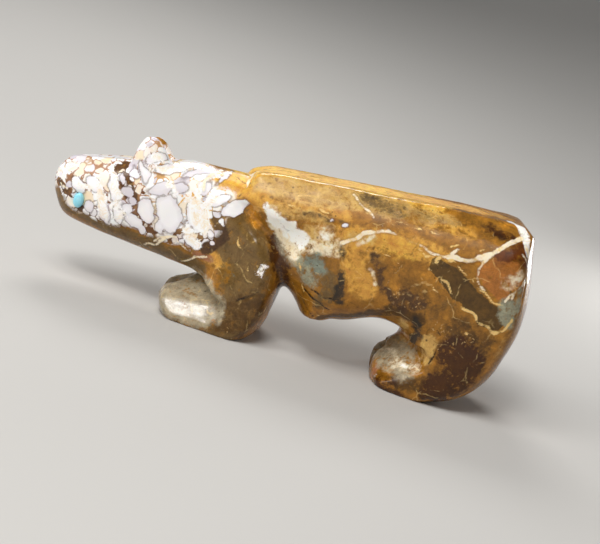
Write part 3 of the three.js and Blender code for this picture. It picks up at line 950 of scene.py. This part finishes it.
@dataclass(frozen=True)
class PolishedStone:
    """Brecciated jasper, ground with a wheel and polished with wax.

    It is glossy where it was polished last and satin elsewhere, with a little depth of colour.
    Sizes are in millimetres. In the nodes below, a Map Range takes the value, the range that it
    comes from and the range that it goes to as inputs 0 to 4, and a colour Mix takes the share
    as input 0 and the two colours as 6 and 7.
    """

    ior: float = 1.44
    roughness: float = 0.16
    dull_roughness: float = 0.6
    depth: float = 1.2
    wheel_mark: float = 0.02
    amber_dark: str = "#865A1A"
    shade_brown: str = "#2E1806"
    nodule_white: str = "#FFFDFB"
    nodule_grey: str = "#D8D0D6"
    nodule_cream: str = "#F6E2C2"
    rind: str = "#553526"
    rind_high: str = "#B78A6C"
    neck_gold: str = "#EDB95C"
    vein_and_highlight_cream: str = "#F9EACD"
    thread_gold: str = "#F0CB80"
    crack_dark: str = "#1E1206"
    fleck_pale: str = "#D0A866"
    cloud: float = 5.5
    drift: float = 2.6
    grain: float = 0.8
    bend: float = 3.5
    chip: float = 0.8
    chip_bend: float = 1.1
    frost: float = 0.9
    # The stone's finest speckle is under 0.2 mm, too fine to show, so the finer mottle is coarser.
    mottles: tuple[Mottle, ...] = (Mottle(1.6, 0.72, 0.48), Mottle(0.45, 0.8, 0.28))
    hairs: tuple[Hairs, ...] = (Hairs(6.5, 0.5, 0.62, thread_gold), Hairs(8.5, 0.5, 0.38, shade_brown))
    specks: tuple[Specks, ...] = (Specks(1.3, 0.05, 0.16, 0.5), Specks(3.1, 0.03, 0.1, 0.46))
    packings: tuple[Packing, ...] = (Packing(1.45, 0.14, 0.6), Packing(2.3, 0.5, 1.1))
    # The head's upper part is paler from the first height to the second, and the neck is golden
    # from the first place along it to the second.
    head_heights: tuple[float, float] = (15.0, 21.0)
    neck_places: tuple[float, float] = (-29.0, -22.0)

    def make(self, name: str) -> bpy.types.Material:
        """Makes the stone's material.

        Args:
            name: The material's name.

        Returns:
            The material. Its mesh carries the values that Markings writes.
        """
        material, tree = new_material(name)
        add = functools.partial(add_node, tree)
        metres = add("TexCoord", output="Object")
        place = add("VectorMath", {0: metres, "Scale": 1 / MM}, operation="SCALE")
        grain = add("TexNoise", {"Vector": place, "Scale": 1 / self.grain, "Detail": 5.0,
                                 "Roughness": 0.65})
        drift = add("TexNoise", {"Vector": place, "Scale": 1 / self.drift, "Detail": 6.0,
                                 "Roughness": 0.6, "Distortion": 0.8})
        base = Base(add, place, grain, drift)
        colour = self._mottling(base, self._ground(base))
        for layer in (self._hair_veins, self._dark_specks, self._pale_flecks, self._packed_head,
                      self._large_nodules, self._blooms, self._lines):
            for share, tint in layer(base):
                colour = add("Mix", {0: share, 6: colour, 7: tint}, data_type="RGBA")
        self._surface(base, colour)
        return material

    def _ground(self, base: Base) -> Socket:
        """Lays the tones over each other, each with a border as ragged as the stone's clouds.

        Args:
            base: What the layer is made with.

        Returns:
            The colour.
        """
        add = base.add
        cloud = add("TexNoise", {"Vector": base.place, "Scale": 1 / self.cloud, "Detail": 7.0,
                                 "Roughness": 0.62, "Distortion": 0.6})
        share = add("MapRange", {0: cloud, 1: 0.38, 2: 0.62})
        colour = add("Mix", {0: share, 6: self.amber_dark, 7: Tone.AMBER.value}, data_type="RGBA")
        both = add("Math", {0: base.grain, 1: base.drift}, operation="ADD")
        stray = add("MapRange", {0: both, 1: 0.75, 2: 1.25, 3: 0.4, 4: 1.6})
        for tone in list(Tone)[1:]:
            weight = add("Attribute", output="Fac", attribute_name=tone.name.lower())
            if tone.crisp:
                ragged = add("Math", {0: both, 1: weight}, operation="ADD")
                share = add("MapRange", {0: ragged, 1: 1.42, 2: 1.58, 4: 0.84})
            else:
                ragged = add("Math", {0: weight, 1: stray}, operation="MULTIPLY")
                share = add("MapRange", {0: ragged, 1: 0.22, 2: 0.9, 4: 0.96},
                            interpolation_type="SMOOTHSTEP")
            colour = add("Mix", {0: share, 6: colour, 7: tone.value}, data_type="RGBA")
        return colour

    def _mottling(self, base: Base, colour: Socket) -> Socket:
        """Darkens and lightens the stone in small clouds.

        Args:
            base: What the layer is made with.
            colour: The colour so far.

        Returns:
            The colour.
        """
        add = base.add
        for mottle in self.mottles:
            clouds = add("TexNoise", {"Vector": base.place, "Scale": 1 / mottle.size,
                                      "Detail": 8.0, "Roughness": mottle.roughness,
                                      "Distortion": 0.5})
            light = add("MapRange", {0: clouds, 1: 0.3, 2: 0.7, 3: 0.08, 4: 0.92})
            colour = add("Mix", {0: mottle.strength, 6: colour, 7: light},
                         data_type="RGBA", blend_type="OVERLAY")
        return colour

    def _hair_veins(self, base: Base) -> Iterator[Coat]:
        """Runs hair-thin veins, gold and brown, around bent patches of the stone.

        Args:
            base: What the layer is made with.

        Yields:
            Each coat, from the lowest.
        """
        add = base.add
        stray = add("TexNoise", {"Vector": base.place, "Scale": 1 / self.bend, "Detail": 4.0}, "Color")
        bent = add("VectorMath", {0: stray, 1: (3.0, 3.0, 3.0), 2: base.place},
                   operation="MULTIPLY_ADD")
        for hairs in self.hairs:
            edges = add("TexVoronoi", {"Vector": bent, "Scale": 1 / hairs.size},
                        feature="DISTANCE_TO_EDGE")
            hair = add("MapRange", {0: edges, 1: 0.05 / hairs.size, 2: 0.15 / hairs.size,
                                    3: 0.38, 4: 0.0})
            here = add("MapRange", {0: base.drift, 1: hairs.first, 2: hairs.last})
            yield add("Math", {0: hair, 1: here}, operation="MULTIPLY"), hairs.tint

    def _dark_specks(self, base: Base) -> Iterator[Coat]:
        """Scatters dark specks.

        Args:
            base: What the layer is made with.

        Yields:
            Each coat, from the lowest.
        """
        add = base.add
        for specks in self.specks:
            dots = add("TexVoronoi", {"Vector": base.place, "Scale": 1 / specks.room})
            dot = add("MapRange", {0: dots, 1: specks.core, 2: specks.rim, 3: 0.8, 4: 0.0})
            few = add("MapRange", {0: base.drift, 1: specks.above, 2: specks.above + 0.08})
            yield add("Math", {0: dot, 1: few}, operation="MULTIPLY"), self.shade_brown

    def _pale_flecks(self, base: Base) -> Iterator[Coat]:
        """Scatters pale bent flecks along their bands.

        Args:
            base: What the layer is made with.

        Yields:
            Each coat, from the lowest.
        """
        add = base.add
        stray = add("TexNoise", {"Vector": base.place, "Scale": 1 / self.chip_bend,
                                 "Detail": 3.0}, "Color")
        bent = add("VectorMath", {0: stray, 1: (1.8, 1.8, 1.8), 2: base.place},
                   operation="MULTIPLY_ADD")
        chips = add("TexVoronoi", {"Vector": bent, "Scale": 1 / self.chip})
        chip = add("MapRange", {0: chips, 1: 0.1, 2: 0.3, 3: 0.8, 4: 0.0})
        band = add("Attribute", output="Fac", attribute_name="flecks")
        yield add("Math", {0: chip, 1: band}, operation="MULTIPLY"), self.fleck_pale

    def _packed_head(self, base: Base) -> Iterator[Coat]:
        """Packs pale nodules into the head, small ones first and larger ones over them.

        Args:
            base: What the layer is made with.

        Yields:
            Each coat, from the lowest.
        """
        add = base.add
        low, top = self.head_heights
        height = add("SeparateXYZ", {0: base.place}, "Z")
        high = add("MapRange", {0: height, 1: low, 2: top})
        beyond = add("Attribute", output="Fac", attribute_name="packed")
        ragged = add("Math", {0: beyond, 1: base.grain}, operation="ADD")
        inside = add("MapRange", {0: ragged, 1: -0.1, 2: 0.9, 3: 1.0, 4: 0.0})
        plum, star = (add("Attribute", output="Fac", attribute_name=tone.name.lower())
                      for tone in (Tone.PLUM, Tone.MAHOGANY))
        bare = add("Math", {0: plum, 1: star}, operation="ADD")
        head = Head(high, inside, bare)
        yield self._between_nodules(base, head)
        for packing in self.packings:
            yield self._packed_nodules(base, head, packing)

    def _between_nodules(self, base: Base, head: Head) -> Coat:
        """Fills the head between its nodules: brown below, paler above and golden at the neck.

        Args:
            base: What the layer is made with.
            head: Where on the head a place is.

        Returns:
            The coat.
        """
        add = base.add
        nose_end, neck_end = self.neck_places
        filled = add("MapRange", {0: head.bare, 1: 0.2, 2: 0.8, 3: 0.85, 4: 0.1})
        filling = add("Mix", {0: head.high, 6: self.rind, 7: self.rind_high}, data_type="RGBA")
        along = add("SeparateXYZ", {0: base.place}, "X")
        neck = add("MapRange", {0: along, 1: nose_end, 2: neck_end})
        golden = add("Math", {0: neck, 1: head.high}, operation="MULTIPLY")
        filling = add("Mix", {0: golden, 6: filling, 7: self.neck_gold}, data_type="RGBA")
        return add("Math", {0: head.inside, 1: filled}, operation="MULTIPLY"), filling

    def _packed_nodules(self, base: Base, head: Head, packing: Packing) -> Coat:
        """Lays one layer of nodules, each with a tint of its own and a greyer rim.

        Args:
            base: What the layer is made with.
            head: Where on the head a place is.
            packing: The nodules' size and number.

        Returns:
            The coat.
        """
        add, size = base.add, packing.size
        stray = add("TexNoise", {"Vector": base.place, "Scale": 1 / (0.6 * size),
                                 "Detail": 2.0}, "Color")
        bent = add("VectorMath", {0: stray, 1: (packing.warp,) * 3, 2: base.place},
                   operation="MULTIPLY_ADD")
        cells = add("TexVoronoi", {"Vector": bent, "Scale": 1 / size})
        draw = add("SeparateColor", {0: cells.node.outputs["Color"]})
        edges = add("TexVoronoi", {"Vector": bent, "Scale": 1 / size}, feature="DISTANCE_TO_EDGE")
        apart = add("MapRange", {0: edges, 1: 0.04 / size, 2: 0.13 / size})
        rounded = add("MapRange", {0: cells, 1: 0.62, 2: 0.72, 3: 1.0, 4: 0.0})
        luck = add("Math", {0: head.high, 1: 0.25, 2: draw}, operation="MULTIPLY_ADD")
        luck = add("Math", {0: head.bare, 1: -0.55, 2: luck}, operation="MULTIPLY_ADD")
        kept = add("MapRange", {0: luck, 1: packing.rarity, 2: packing.rarity + 0.04})
        share = head.inside
        for part in (apart, rounded, kept):
            share = add("Math", {0: share, 1: part}, operation="MULTIPLY")
        cream = add("MapRange", {0: draw.node.outputs[1], 1: 0.45, 2: 0.9})
        tint = add("Mix", {0: cream, 6: self.nodule_white, 7: self.nodule_cream}, data_type="RGBA")
        grey = add("MapRange", {0: draw.node.outputs[2], 1: 0.7, 2: 0.95})
        rim = add("MapRange", {0: edges, 1: 0.1 / size, 2: 0.5 / size, 3: 0.25, 4: 0.0})
        for greyness in (grey, rim):
            tint = add("Mix", {0: greyness, 6: tint, 7: self.nodule_grey}, data_type="RGBA")
        return share, tint

    def _large_nodules(self, base: Base) -> Iterator[Coat]:
        """Sets the large nodules in the stone, each in its dark rind.

        Args:
            base: What the layer is made with.

        Yields:
            Each coat, from the lowest.
        """
        add = base.add
        nodule = add("Attribute", output="Fac", attribute_name="nodule")
        stray = add("Math", {0: base.grain, 1: 0.5}, operation="SUBTRACT")
        ragged = add("Math", {0: stray, 1: 0.5, 2: nodule}, operation="MULTIPLY_ADD")
        yield add("MapRange", {0: ragged, 1: 0.04, 2: 0.34, 3: 0.8, 4: 0.0}), self.rind
        shade = add("Attribute", output="Fac", attribute_name="nodule_shade")
        tint = add("Mix", {0: shade, 6: self.nodule_white, 7: self.nodule_grey}, data_type="RGBA")
        rim = add("MapRange", {0: ragged, 1: -0.5, 2: 0.0, 3: 0.0, 4: 0.45})
        tint = add("Mix", {0: rim, 6: tint, 7: self.nodule_grey}, data_type="RGBA")
        yield add("MapRange", {0: ragged, 1: -0.02, 2: 0.1, 3: 1.0, 4: 0.0}), tint

    def _blooms(self, base: Base) -> Iterator[Coat]:
        """Lays ragged blooms of white and cream over the nodules.

        Args:
            base: What the layer is made with.

        Yields:
            Each coat, from the lowest.
        """
        add = base.add
        bloom = add("Attribute", output="Fac", attribute_name="bloom")
        frost = add("TexNoise", {"Vector": base.place, "Scale": 1 / self.frost, "Detail": 8.0,
                                 "Roughness": 0.7, "Distortion": 1.0})
        stray = add("Math", {0: frost, 1: 0.5}, operation="SUBTRACT")
        ragged = add("Math", {0: stray, 1: 3.2, 2: bloom}, operation="MULTIPLY_ADD")
        share = add("MapRange", {0: ragged, 1: -0.15, 2: 0.2, 3: 0.97, 4: 0.0})
        warm = add("MapRange", {0: frost, 1: 0.44, 2: 0.62})
        yield share, add("Mix", {0: warm, 6: self.nodule_white, 7: self.nodule_cream}, data_type="RGBA")

    def _lines(self, base: Base) -> Iterator[Coat]:
        """Draws the pale veins and painted edge highlights with their dark borders, the gold threads
        and the dark cracks.

        Args:
            base: What the layer is made with.

        Yields:
            Each coat, from the lowest.
        """
        add = base.add
        stray = add("Math", {0: base.grain, 1: 0.6, 2: -0.32}, operation="MULTIPLY_ADD")
        fade = add("Math", {0: base.drift, 1: 1.1, 2: -0.5}, operation="MULTIPLY_ADD")
        faint = add("MapRange", {0: base.drift, 1: 0.48, 2: 0.64, 3: 0.97, 4: 0.75})
        gold = add("MapRange", {0: base.grain, 1: 0.5, 2: 0.68})
        cream = add("Mix", {0: gold, 6: self.vein_and_highlight_cream, 7: self.thread_gold}, data_type="RGBA")
        for name, broken, dark, soft, tint in (("vein", 0.4, 0.25, 0.16, cream),
                                               ("thread", 0.35, 0.0, 0.12, self.thread_gold),
                                               ("crack", 0.0, 0.0, 0.12, self.crack_dark)):
            beyond = add("Attribute", output="Fac", attribute_name=name)
            line = add("Math", {0: beyond, 1: stray}, operation="ADD")
            line = add("Math", {0: fade, 1: broken, 2: line}, operation="MULTIPLY_ADD")
            yield add("MapRange", {0: line, 1: 0.1, 2: 0.5, 3: dark, 4: 0.0}), self.rind
            yield add("MapRange", {0: line, 1: -0.02, 2: soft, 3: faint, 4: 0.0}), tint

    def _surface(self, base: Base, colour: Socket) -> None:
        """Gives the stone its polish, its wheel marks and its depth.

        Args:
            base: What the finish is made with.
            colour: The colour.
        """
        add = base.add
        stretched = add("Mapping", {"Vector": base.place, "Rotation": (0.3, 0.5, 0.2),
                                    "Scale": (0.35, 2.4, 5.0)})
        marks = add("TexNoise", {"Vector": stretched, "Scale": 1.0, "Detail": 3.0, "Roughness": 0.6})
        height = add("Math", {0: marks, 1: 0.25, 2: base.grain}, operation="MULTIPLY_ADD")
        crack = add("Attribute", output="Fac", attribute_name="crack")
        groove = add("MapRange", {0: crack, 1: -0.1, 2: 0.15, 3: -1.5, 4: 0.0})
        height = add("Math", {0: height, 1: groove}, operation="ADD")
        bump = add("Bump", {"Height": height, "Strength": 0.35, "Distance": self.wheel_mark * MM})
        gloss = add("MapRange", {0: marks, 1: 0.3, 2: 0.7, 3: self.roughness - 0.04,
                                 4: self.roughness + 0.1})
        dull = add("Attribute", output="Fac", attribute_name="dull")
        gloss = add("Mix", {0: dull, 2: gloss, 3: self.dull_roughness})
        shader = add("BsdfPrincipled", {
            "Base Color": colour, "Roughness": gloss, "IOR": self.ior, "Normal": bump,
            "Subsurface Weight": 0.2, "Subsurface Radius": (1.0, 0.6, 0.3),
            "Subsurface Scale": self.depth * MM})
        add("OutputMaterial", {"Surface": shader})


@dataclass(frozen=True)
class PolishedTurquoise:
    """Turquoise cut as a cabochon and polished: waxy and even, with faint paler clouds.

    The clouds' size is in millimetres.
    """

    ior: float = 1.61
    roughness: float = 0.15
    wax: float = 0.5
    sky: str = "#62D4EE"
    milky: str = "#BDF2FC"
    cloud: float = 0.9

    def make(self, name: str) -> bpy.types.Material:
        """Makes the turquoise material.

        Args:
            name: The material's name.

        Returns:
            The material.
        """
        material, tree = new_material(name)
        add = functools.partial(add_node, tree)
        metres = add("TexCoord", output="Object")
        noise = add("TexNoise", {"Vector": metres, "Scale": 1 / (self.cloud * MM), "Detail": 4.0})
        colour = add("Mix", {0: noise, 6: self.sky, 7: self.milky}, data_type="RGBA")
        shader = add("BsdfPrincipled", {"Base Color": colour, "Roughness": self.roughness,
                                        "IOR": self.ior, "Coat Weight": self.wax})
        add("OutputMaterial", {"Surface": shader})
        return material


@dataclass(frozen=True)
class MattPaper:
    """Matt background paper: one even tone with no shine."""

    colour: str = "#C4C1BC"
    roughness: float = 0.9

    def make(self, name: str) -> bpy.types.Material:
        """Makes the paper's material.

        Args:
            name: The material's name.

        Returns:
            The material.
        """
        material, tree = new_material(name)
        shader = add_node(tree, "BsdfPrincipled", {"Base Color": self.colour,
                                                   "Roughness": self.roughness})
        add_node(tree, "OutputMaterial", {"Surface": shader})
        return material


def finished(name: str, mesh: bpy.types.Mesh, material: bpy.types.Material) -> bpy.types.Object:
    """Puts a mesh in the scene as a smooth object with one material.

    Args:
        name: The object's name.
        mesh: The mesh, in its place.
        material: Its finish.

    Returns:
        The new object, at the origin.
    """
    mesh.materials.clear()
    mesh.materials.append(material)
    mesh.polygons.foreach_set("use_smooth", np.ones(len(mesh.polygons), bool))
    piece = bpy.data.objects.new(name, mesh)
    bpy.context.scene.collection.objects.link(piece)
    return piece


@dataclass
class CarvedBear:
    """The whole animal in one piece of stone. Sizes are in millimetres and angles in degrees.

    An edge between wide flats stays crisp: one that is sharper than crisp_angle and borders a
    flat of flat_area square millimetres or more, unless it lies both outside soft_side and
    above soft_above. rib_edge stays crisp too. The stone is as worn as it gets at worn_reach
    from such an edge, and it is rounded most along shoulder_crease, as far as crease_reach.
    """

    viewpoint: Viewpoint
    node: str = "carved_bear"
    facet: float = 0.345
    flat_tolerance: float = 0.6
    crisp_angle: float = 17.0
    flat_area: float = 9.0
    soft_side: float = 8.2
    soft_above: float = 25.4
    edge_step: float = 0.3
    rib_steps: int = 8
    even_passes: int = 5
    worn_passes: int = 26
    crisp_reach: float = 0.45
    worn_reach: float = 1.7
    undulation: Ripple = Ripple(9.0, 1, 0.07)
    dimples: Ripple = Ripple(2.2, 2, 0.018)
    sole_heights: tuple[float, float] = (0.15, 1.2)
    crack_depth: float = 0.12
    crack_edge: tuple[float, float] = (-0.2, 0.45)
    rib_edge: tuple[SideView, ...] = (
        (-8.2, 25.3), (-3.2, 25), (-0.7, 24.7), (1.1, 24.1), (3.1, 22.9), (4.3, 21.6),
    )
    shoulder_crease: tuple[SideView, ...] = (
        (-9.5, 26.9), (2, 27.3), (13, 28), (24, 28.6), (36, 29.8),
    )
    crease_reach: float = 3.2
    crease_passes: int = 110

    def make(self) -> bpy.types.Object:
        """Builds the bear and dresses it.

        Returns:
            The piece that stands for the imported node.
        """
        markings = Markings(SeenStone(self.node, self.viewpoint))
        crisp = self._crisp_places()
        mesh = self._fine_copy()
        self._wear(mesh, crisp)
        self._grind(mesh, markings)
        markings.write(mesh)
        piece = finished("mottled_stone_bear", mesh, PolishedStone().make("waxed_mottled_jasper"))
        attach(piece, "root")
        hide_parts(self.node)
        return piece

    def _crisp_places(self) -> kdtree.KDTree:
        """Finds the edges where a wide flat was ground, which stay sharper than the rest.

        Returns:
            Places along those edges.
        """
        stone = merged_copy(self.node)
        bmesh.ops.dissolve_limit(stone, angle_limit=math.radians(self.flat_tolerance),
                                 verts=stone.verts, edges=stone.edges)
        places = []
        for edge in stone.edges:
            if len(edge.link_faces) != 2 or edge.calc_face_angle() < math.radians(self.crisp_angle):
                continue
            if max(face.calc_area() for face in edge.link_faces) < self.flat_area * MM * MM:
                continue
            start, end = (vertex.co for vertex in edge.verts)
            if abs(start.y) > self.soft_side * MM and start.z > self.soft_above * MM:
                continue
            steps = max(1, math.ceil(edge.calc_length() / (self.edge_step * MM)))
            places += [start.lerp(end, step / steps) for step in range(steps + 1)]
        stone.free()
        left = LeftFlank(self.node).rows(self.rib_edge) * MM
        for line in (left, left * (1, -1, 1)):
            for start, end in zip(line, line[1:]):
                places += [Vector(start).lerp(Vector(end), step / self.rib_steps)
                           for step in range(self.rib_steps + 1)]
        tree = kdtree.KDTree(len(places))
        for index, place in enumerate(places):
            tree.insert(place, index)
        tree.balance()
        LOG.info("%s: %d places along crisp edges", self.node, len(places))
        return tree

    def _fine_copy(self) -> bpy.types.Mesh:
        """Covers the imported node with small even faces.

        Returns:
            The new mesh.
        """
        stone = merged_copy(self.node)
        rough = bpy.data.meshes.new("rough_stone")
        stone.to_mesh(rough)
        stone.free()
        block = bpy.data.objects.new("rough_stone", rough)
        bpy.context.scene.collection.objects.link(block)
        remesh = block.modifiers.new("even faces", "REMESH")
        remesh.mode = "VOXEL"
        remesh.voxel_size = self.facet * MM
        graph = bpy.context.evaluated_depsgraph_get()
        mesh = bpy.data.meshes.new_from_object(block.evaluated_get(graph))
        bpy.data.objects.remove(block)
        bpy.data.meshes.remove(rough)
        mesh.name = "mottled_stone_bear"
        return mesh

    def _wear(self, mesh: bpy.types.Mesh, crisp: kdtree.KDTree) -> None:
        """Rounds the stone as polishing does: a little on ground edges and more elsewhere.

        Args:
            mesh: The fine mesh, which is changed.
            crisp: Places along the ground edges.
        """
        stone = bmesh.new()
        stone.from_mesh(mesh)
        vertices = list(stone.verts)
        smooth = functools.partial(bmesh.ops.smooth_vert, stone, factor=0.5,
                                   use_axis_x=True, use_axis_y=True, use_axis_z=True)
        from_crisp = np.array([crisp.find(vertex.co)[2] for vertex in vertices]) / MM
        freedom = ease(self.crisp_reach, self.worn_reach, from_crisp)
        for _ in range(self.even_passes):
            smooth(verts=vertices)
        for number in range(self.worn_passes):
            least = number / self.worn_passes
            smooth(verts=[v for v, free in zip(vertices, freedom) if free > least])
        points = np.array([vertex.co for vertex in vertices]) / MM
        left = LeftFlank(self.node).rows(self.shoulder_crease)
        away = np.minimum(distance_to_path(points, left), distance_to_path(points, left * (1, -1, 1)))
        nearness = 1 - away / self.crease_reach
        for number in range(self.crease_passes):
            least = number / self.crease_passes
            smooth(verts=[v for v, near in zip(vertices, nearness) if near > least])
        stone.to_mesh(mesh)
        stone.free()

    def _grind(self, mesh: bpy.types.Mesh, markings: Markings) -> None:
        """Gives the surface the slight unevenness of stone ground by hand, and its cracks.

        Args:
            mesh: The worn mesh, which is changed.
            markings: Where the cracks run.
        """
        places = vectors(mesh.vertices, "co")
        points = places / MM
        rise = self.undulation.at(points) + self.dimples.at(points)
        crack = markings.beyond(points, CRACKS, markings.sway)
        rise -= self.crack_depth * (1 - ease(*self.crack_edge, crack))
        above_soles = ease(*self.sole_heights, points[:, 2])
        outward = vectors(mesh.vertex_normals, "vector")
        places += outward * (rise * above_soles * MM)[:, None]
        places[:, 2] = np.maximum(places[:, 2], 0)
        mesh.vertices.foreach_set("co", places.astype(np.float32).ravel())
        mesh.update()


@dataclass
class InlaidEye:
    """An oval cabochon that fills its socket. Sizes are in millimetres.

    fill widens it into the gap around it, and proud lifts its face. fullness squares the dome
    off, from 1 for a plain oval down to 0 for a flat slab.
    """

    node: str
    fill: float = 0.06
    proud: float = 0.03
    fullness: float = 0.55
    segments: int = 40
    rings: int = 24

    def make(self, finish: bpy.types.Material) -> bpy.types.Object:
        """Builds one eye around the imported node's own place and tilt.

        Args:
            finish: The turquoise.

        Returns:
            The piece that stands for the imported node.
        """
        middle, axes, (tall, narrow, thin) = self._oval()
        stone = bmesh.new()
        bmesh.ops.create_uvsphere(stone, u_segments=self.segments, v_segments=self.rings, radius=1.0)
        for vertex in stone.verts:
            height = vertex.co.z
            vertex.co.z = math.copysign(abs(height) ** self.fullness, height)
        halves = Vector((narrow + self.fill * MM, tall + self.fill * MM, thin + self.proud * MM))
        bmesh.ops.scale(stone, vec=halves, verts=stone.verts)
        bmesh.ops.transform(stone, matrix=Matrix.Translation(middle) @ axes, verts=stone.verts)
        bmesh.ops.recalc_face_normals(stone, faces=stone.faces)
        mesh = bpy.data.meshes.new(f"turquoise_{self.node}")
        stone.to_mesh(mesh)
        stone.free()
        piece = finished(f"turquoise_{self.node}", mesh, finish)
        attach(piece, "root")
        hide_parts(self.node)
        return piece

    def _oval(self) -> tuple[Vector, Matrix, np.ndarray]:
        """Finds the middle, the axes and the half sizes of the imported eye.

        Returns:
            The middle, a turn whose columns are the narrow, the tall and the outward axis, and
            the half sizes from the tallest to the thinnest.
        """
        places = np.array([v.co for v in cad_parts[self.node].data.vertices], float)
        places = np.unique(places.round(7), axis=0)
        _, _, rows = np.linalg.svd(places - places.mean(axis=0))
        spans = [(places @ row).max() - (places @ row).min() for row in rows]
        order = np.argsort(spans)[::-1]
        rows, sizes = rows[order], np.array(spans)[order] / 2
        middle = sum(row * ((places @ row).max() + (places @ row).min()) / 2 for row in rows)
        outward = Vector(rows[2]) * math.copysign(1, rows[2][1] * middle[1])
        tall = Vector(rows[0])
        turn = Matrix((tall.cross(outward), tall, outward)).transposed()
        return Vector(middle), turn.to_4x4(), sizes


@dataclass(frozen=True)
class SoftBox:
    """A square studio lamp that shines at the carving.

    azimuth is in degrees from the camera's side towards the right, height in degrees,
    distance and size in metres, and power in watts.
    """

    name: str
    azimuth: float
    height: float
    distance: float
    size: float
    power: float

    def hang(self, target: Vector) -> None:
        """Hangs the lamp around the target and aims it.

        Args:
            target: The place that it shines at, in metres.
        """
        lamp = bpy.data.lights.new(self.name, "AREA")
        lamp.size = self.size
        lamp.energy = self.power
        holder = bpy.data.objects.new(self.name, lamp)
        azimuth, height = math.radians(self.azimuth), math.radians(self.height)
        away = Vector((math.sin(azimuth) * math.cos(height), -math.cos(azimuth) * math.cos(height),
                       math.sin(height)))
        holder.matrix_world = (Matrix.Translation(target + away * self.distance)
                               @ away.to_track_quat("Z", "Y").to_matrix().to_4x4())
        holder.visible_camera = False
        bpy.context.scene.collection.objects.link(holder)


@dataclass
class Studio:
    """The pale floor, the lamps and the camera. Sizes are in metres, angles in degrees.

    The floor is flat as far as floor_reach and then curves up with the radius floor_rise.
    """

    viewpoint: Viewpoint = Viewpoint()
    floor_reach: float = 0.12
    floor_rise: float = 1.1
    floor_arc: float = 75.0
    arc_steps: int = 24
    floor_sides: int = 96
    sky_colour: str = "#E9EDF2"
    sky_strength: float = 0.12
    lamps: tuple[SoftBox, ...] = (
        SoftBox("soft_key", -32, 58, 0.50, 0.34, 1.55),
        SoftBox("paw_glint", -22, 49.5, 0.50, 0.09, 0.55),
        SoftBox("left_over_brow", -58, 28, 0.42, 0.20, 0.50),
        SoftBox("behind_block", -165, 45, 0.42, 0.16, 0.70),
        SoftBox("right_rim", 134, 8, 0.24, 0.07, 0.14),
    )

    def set_up(self) -> None:
        """Makes the floor, the lamps, the sky and the camera."""
        self._floor()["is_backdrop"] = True
        for lamp in self.lamps:
            lamp.hang(Vector(self.viewpoint.target))
        self._sky()
        self._camera()
        bpy.context.scene.view_settings.view_transform = "Standard"

    def _floor(self) -> bpy.types.Object:
        """Makes a round floor that curves up into a wall, so that no edge shows from any side.

        Returns:
            The floor.
        """
        bowl = bmesh.new()
        profile = [(0.0, 0.0), (self.floor_reach, 0.0)]
        for step in range(1, self.arc_steps + 1):
            angle = step / self.arc_steps * math.radians(self.floor_arc)
            profile.append((self.floor_reach + self.floor_rise * math.sin(angle),
                            self.floor_rise * (1 - math.cos(angle))))
        line = [bowl.verts.new((radius, 0.0, height)) for radius, height in profile]
        edges = [bowl.edges.new(pair) for pair in zip(line, line[1:])]
        bmesh.ops.spin(bowl, geom=line + edges, cent=(0, 0, 0), axis=(0, 0, 1),
                       angle=2 * math.pi, steps=self.floor_sides, use_merge=True)
        bmesh.ops.remove_doubles(bowl, verts=bowl.verts, dist=1e-5)
        bmesh.ops.recalc_face_normals(bowl, faces=bowl.faces)
        mesh = bpy.data.meshes.new("studio_floor")
        bowl.to_mesh(mesh)
        bowl.free()
        return finished("studio_floor", mesh, MattPaper().make("matt_paper"))

    def _sky(self) -> None:
        """Lights the whole scene faintly and evenly."""
        world = bpy.data.worlds.new("studio_air")
        world.use_nodes = True
        background = world.node_tree.nodes["Background"]
        background.inputs["Color"].default_value = linear_colour(self.sky_colour)
        background.inputs["Strength"].default_value = self.sky_strength
        bpy.context.scene.world = world

    def _camera(self) -> None:
        """Stands the camera where the photograph was taken from."""
        lens = bpy.data.cameras.new("camera")
        lens.lens = self.viewpoint.focal / self.viewpoint.picture[0] * lens.sensor_width
        lens.clip_start = 0.01
        camera = bpy.data.objects.new("camera", lens)
        camera.matrix_world = self.viewpoint.placement()
        bpy.context.scene.collection.objects.link(camera)
        bpy.context.scene.camera = camera


def write_sizes() -> None:
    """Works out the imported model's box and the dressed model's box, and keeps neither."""
    bounds = {"cad": BOUNDS_AT_LOAD, "visual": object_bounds()}
    ({name: [[float(v) for v in corner] for corner in box]
               for name, box in bounds.items()})


def main() -> None:
    """Builds the studio, the bear and its eyes."""
    logging.basicConfig(level=logging.INFO, format="%(name)s: %(message)s")
    studio = Studio()
    studio.set_up()
    pieces = [CarvedBear(studio.viewpoint).make()]
    turquoise = PolishedTurquoise().make("polished_turquoise")
    pieces += [InlaidEye(node).make(turquoise) for node in ("left_eye", "right_eye")]
    for piece in pieces:
        mesh = piece.data
        LOG.info("%s: %d vertices, %d faces", piece.name, len(mesh.vertices), len(mesh.polygons))
    write_sizes()


if __name__ == "__main__":
    main()
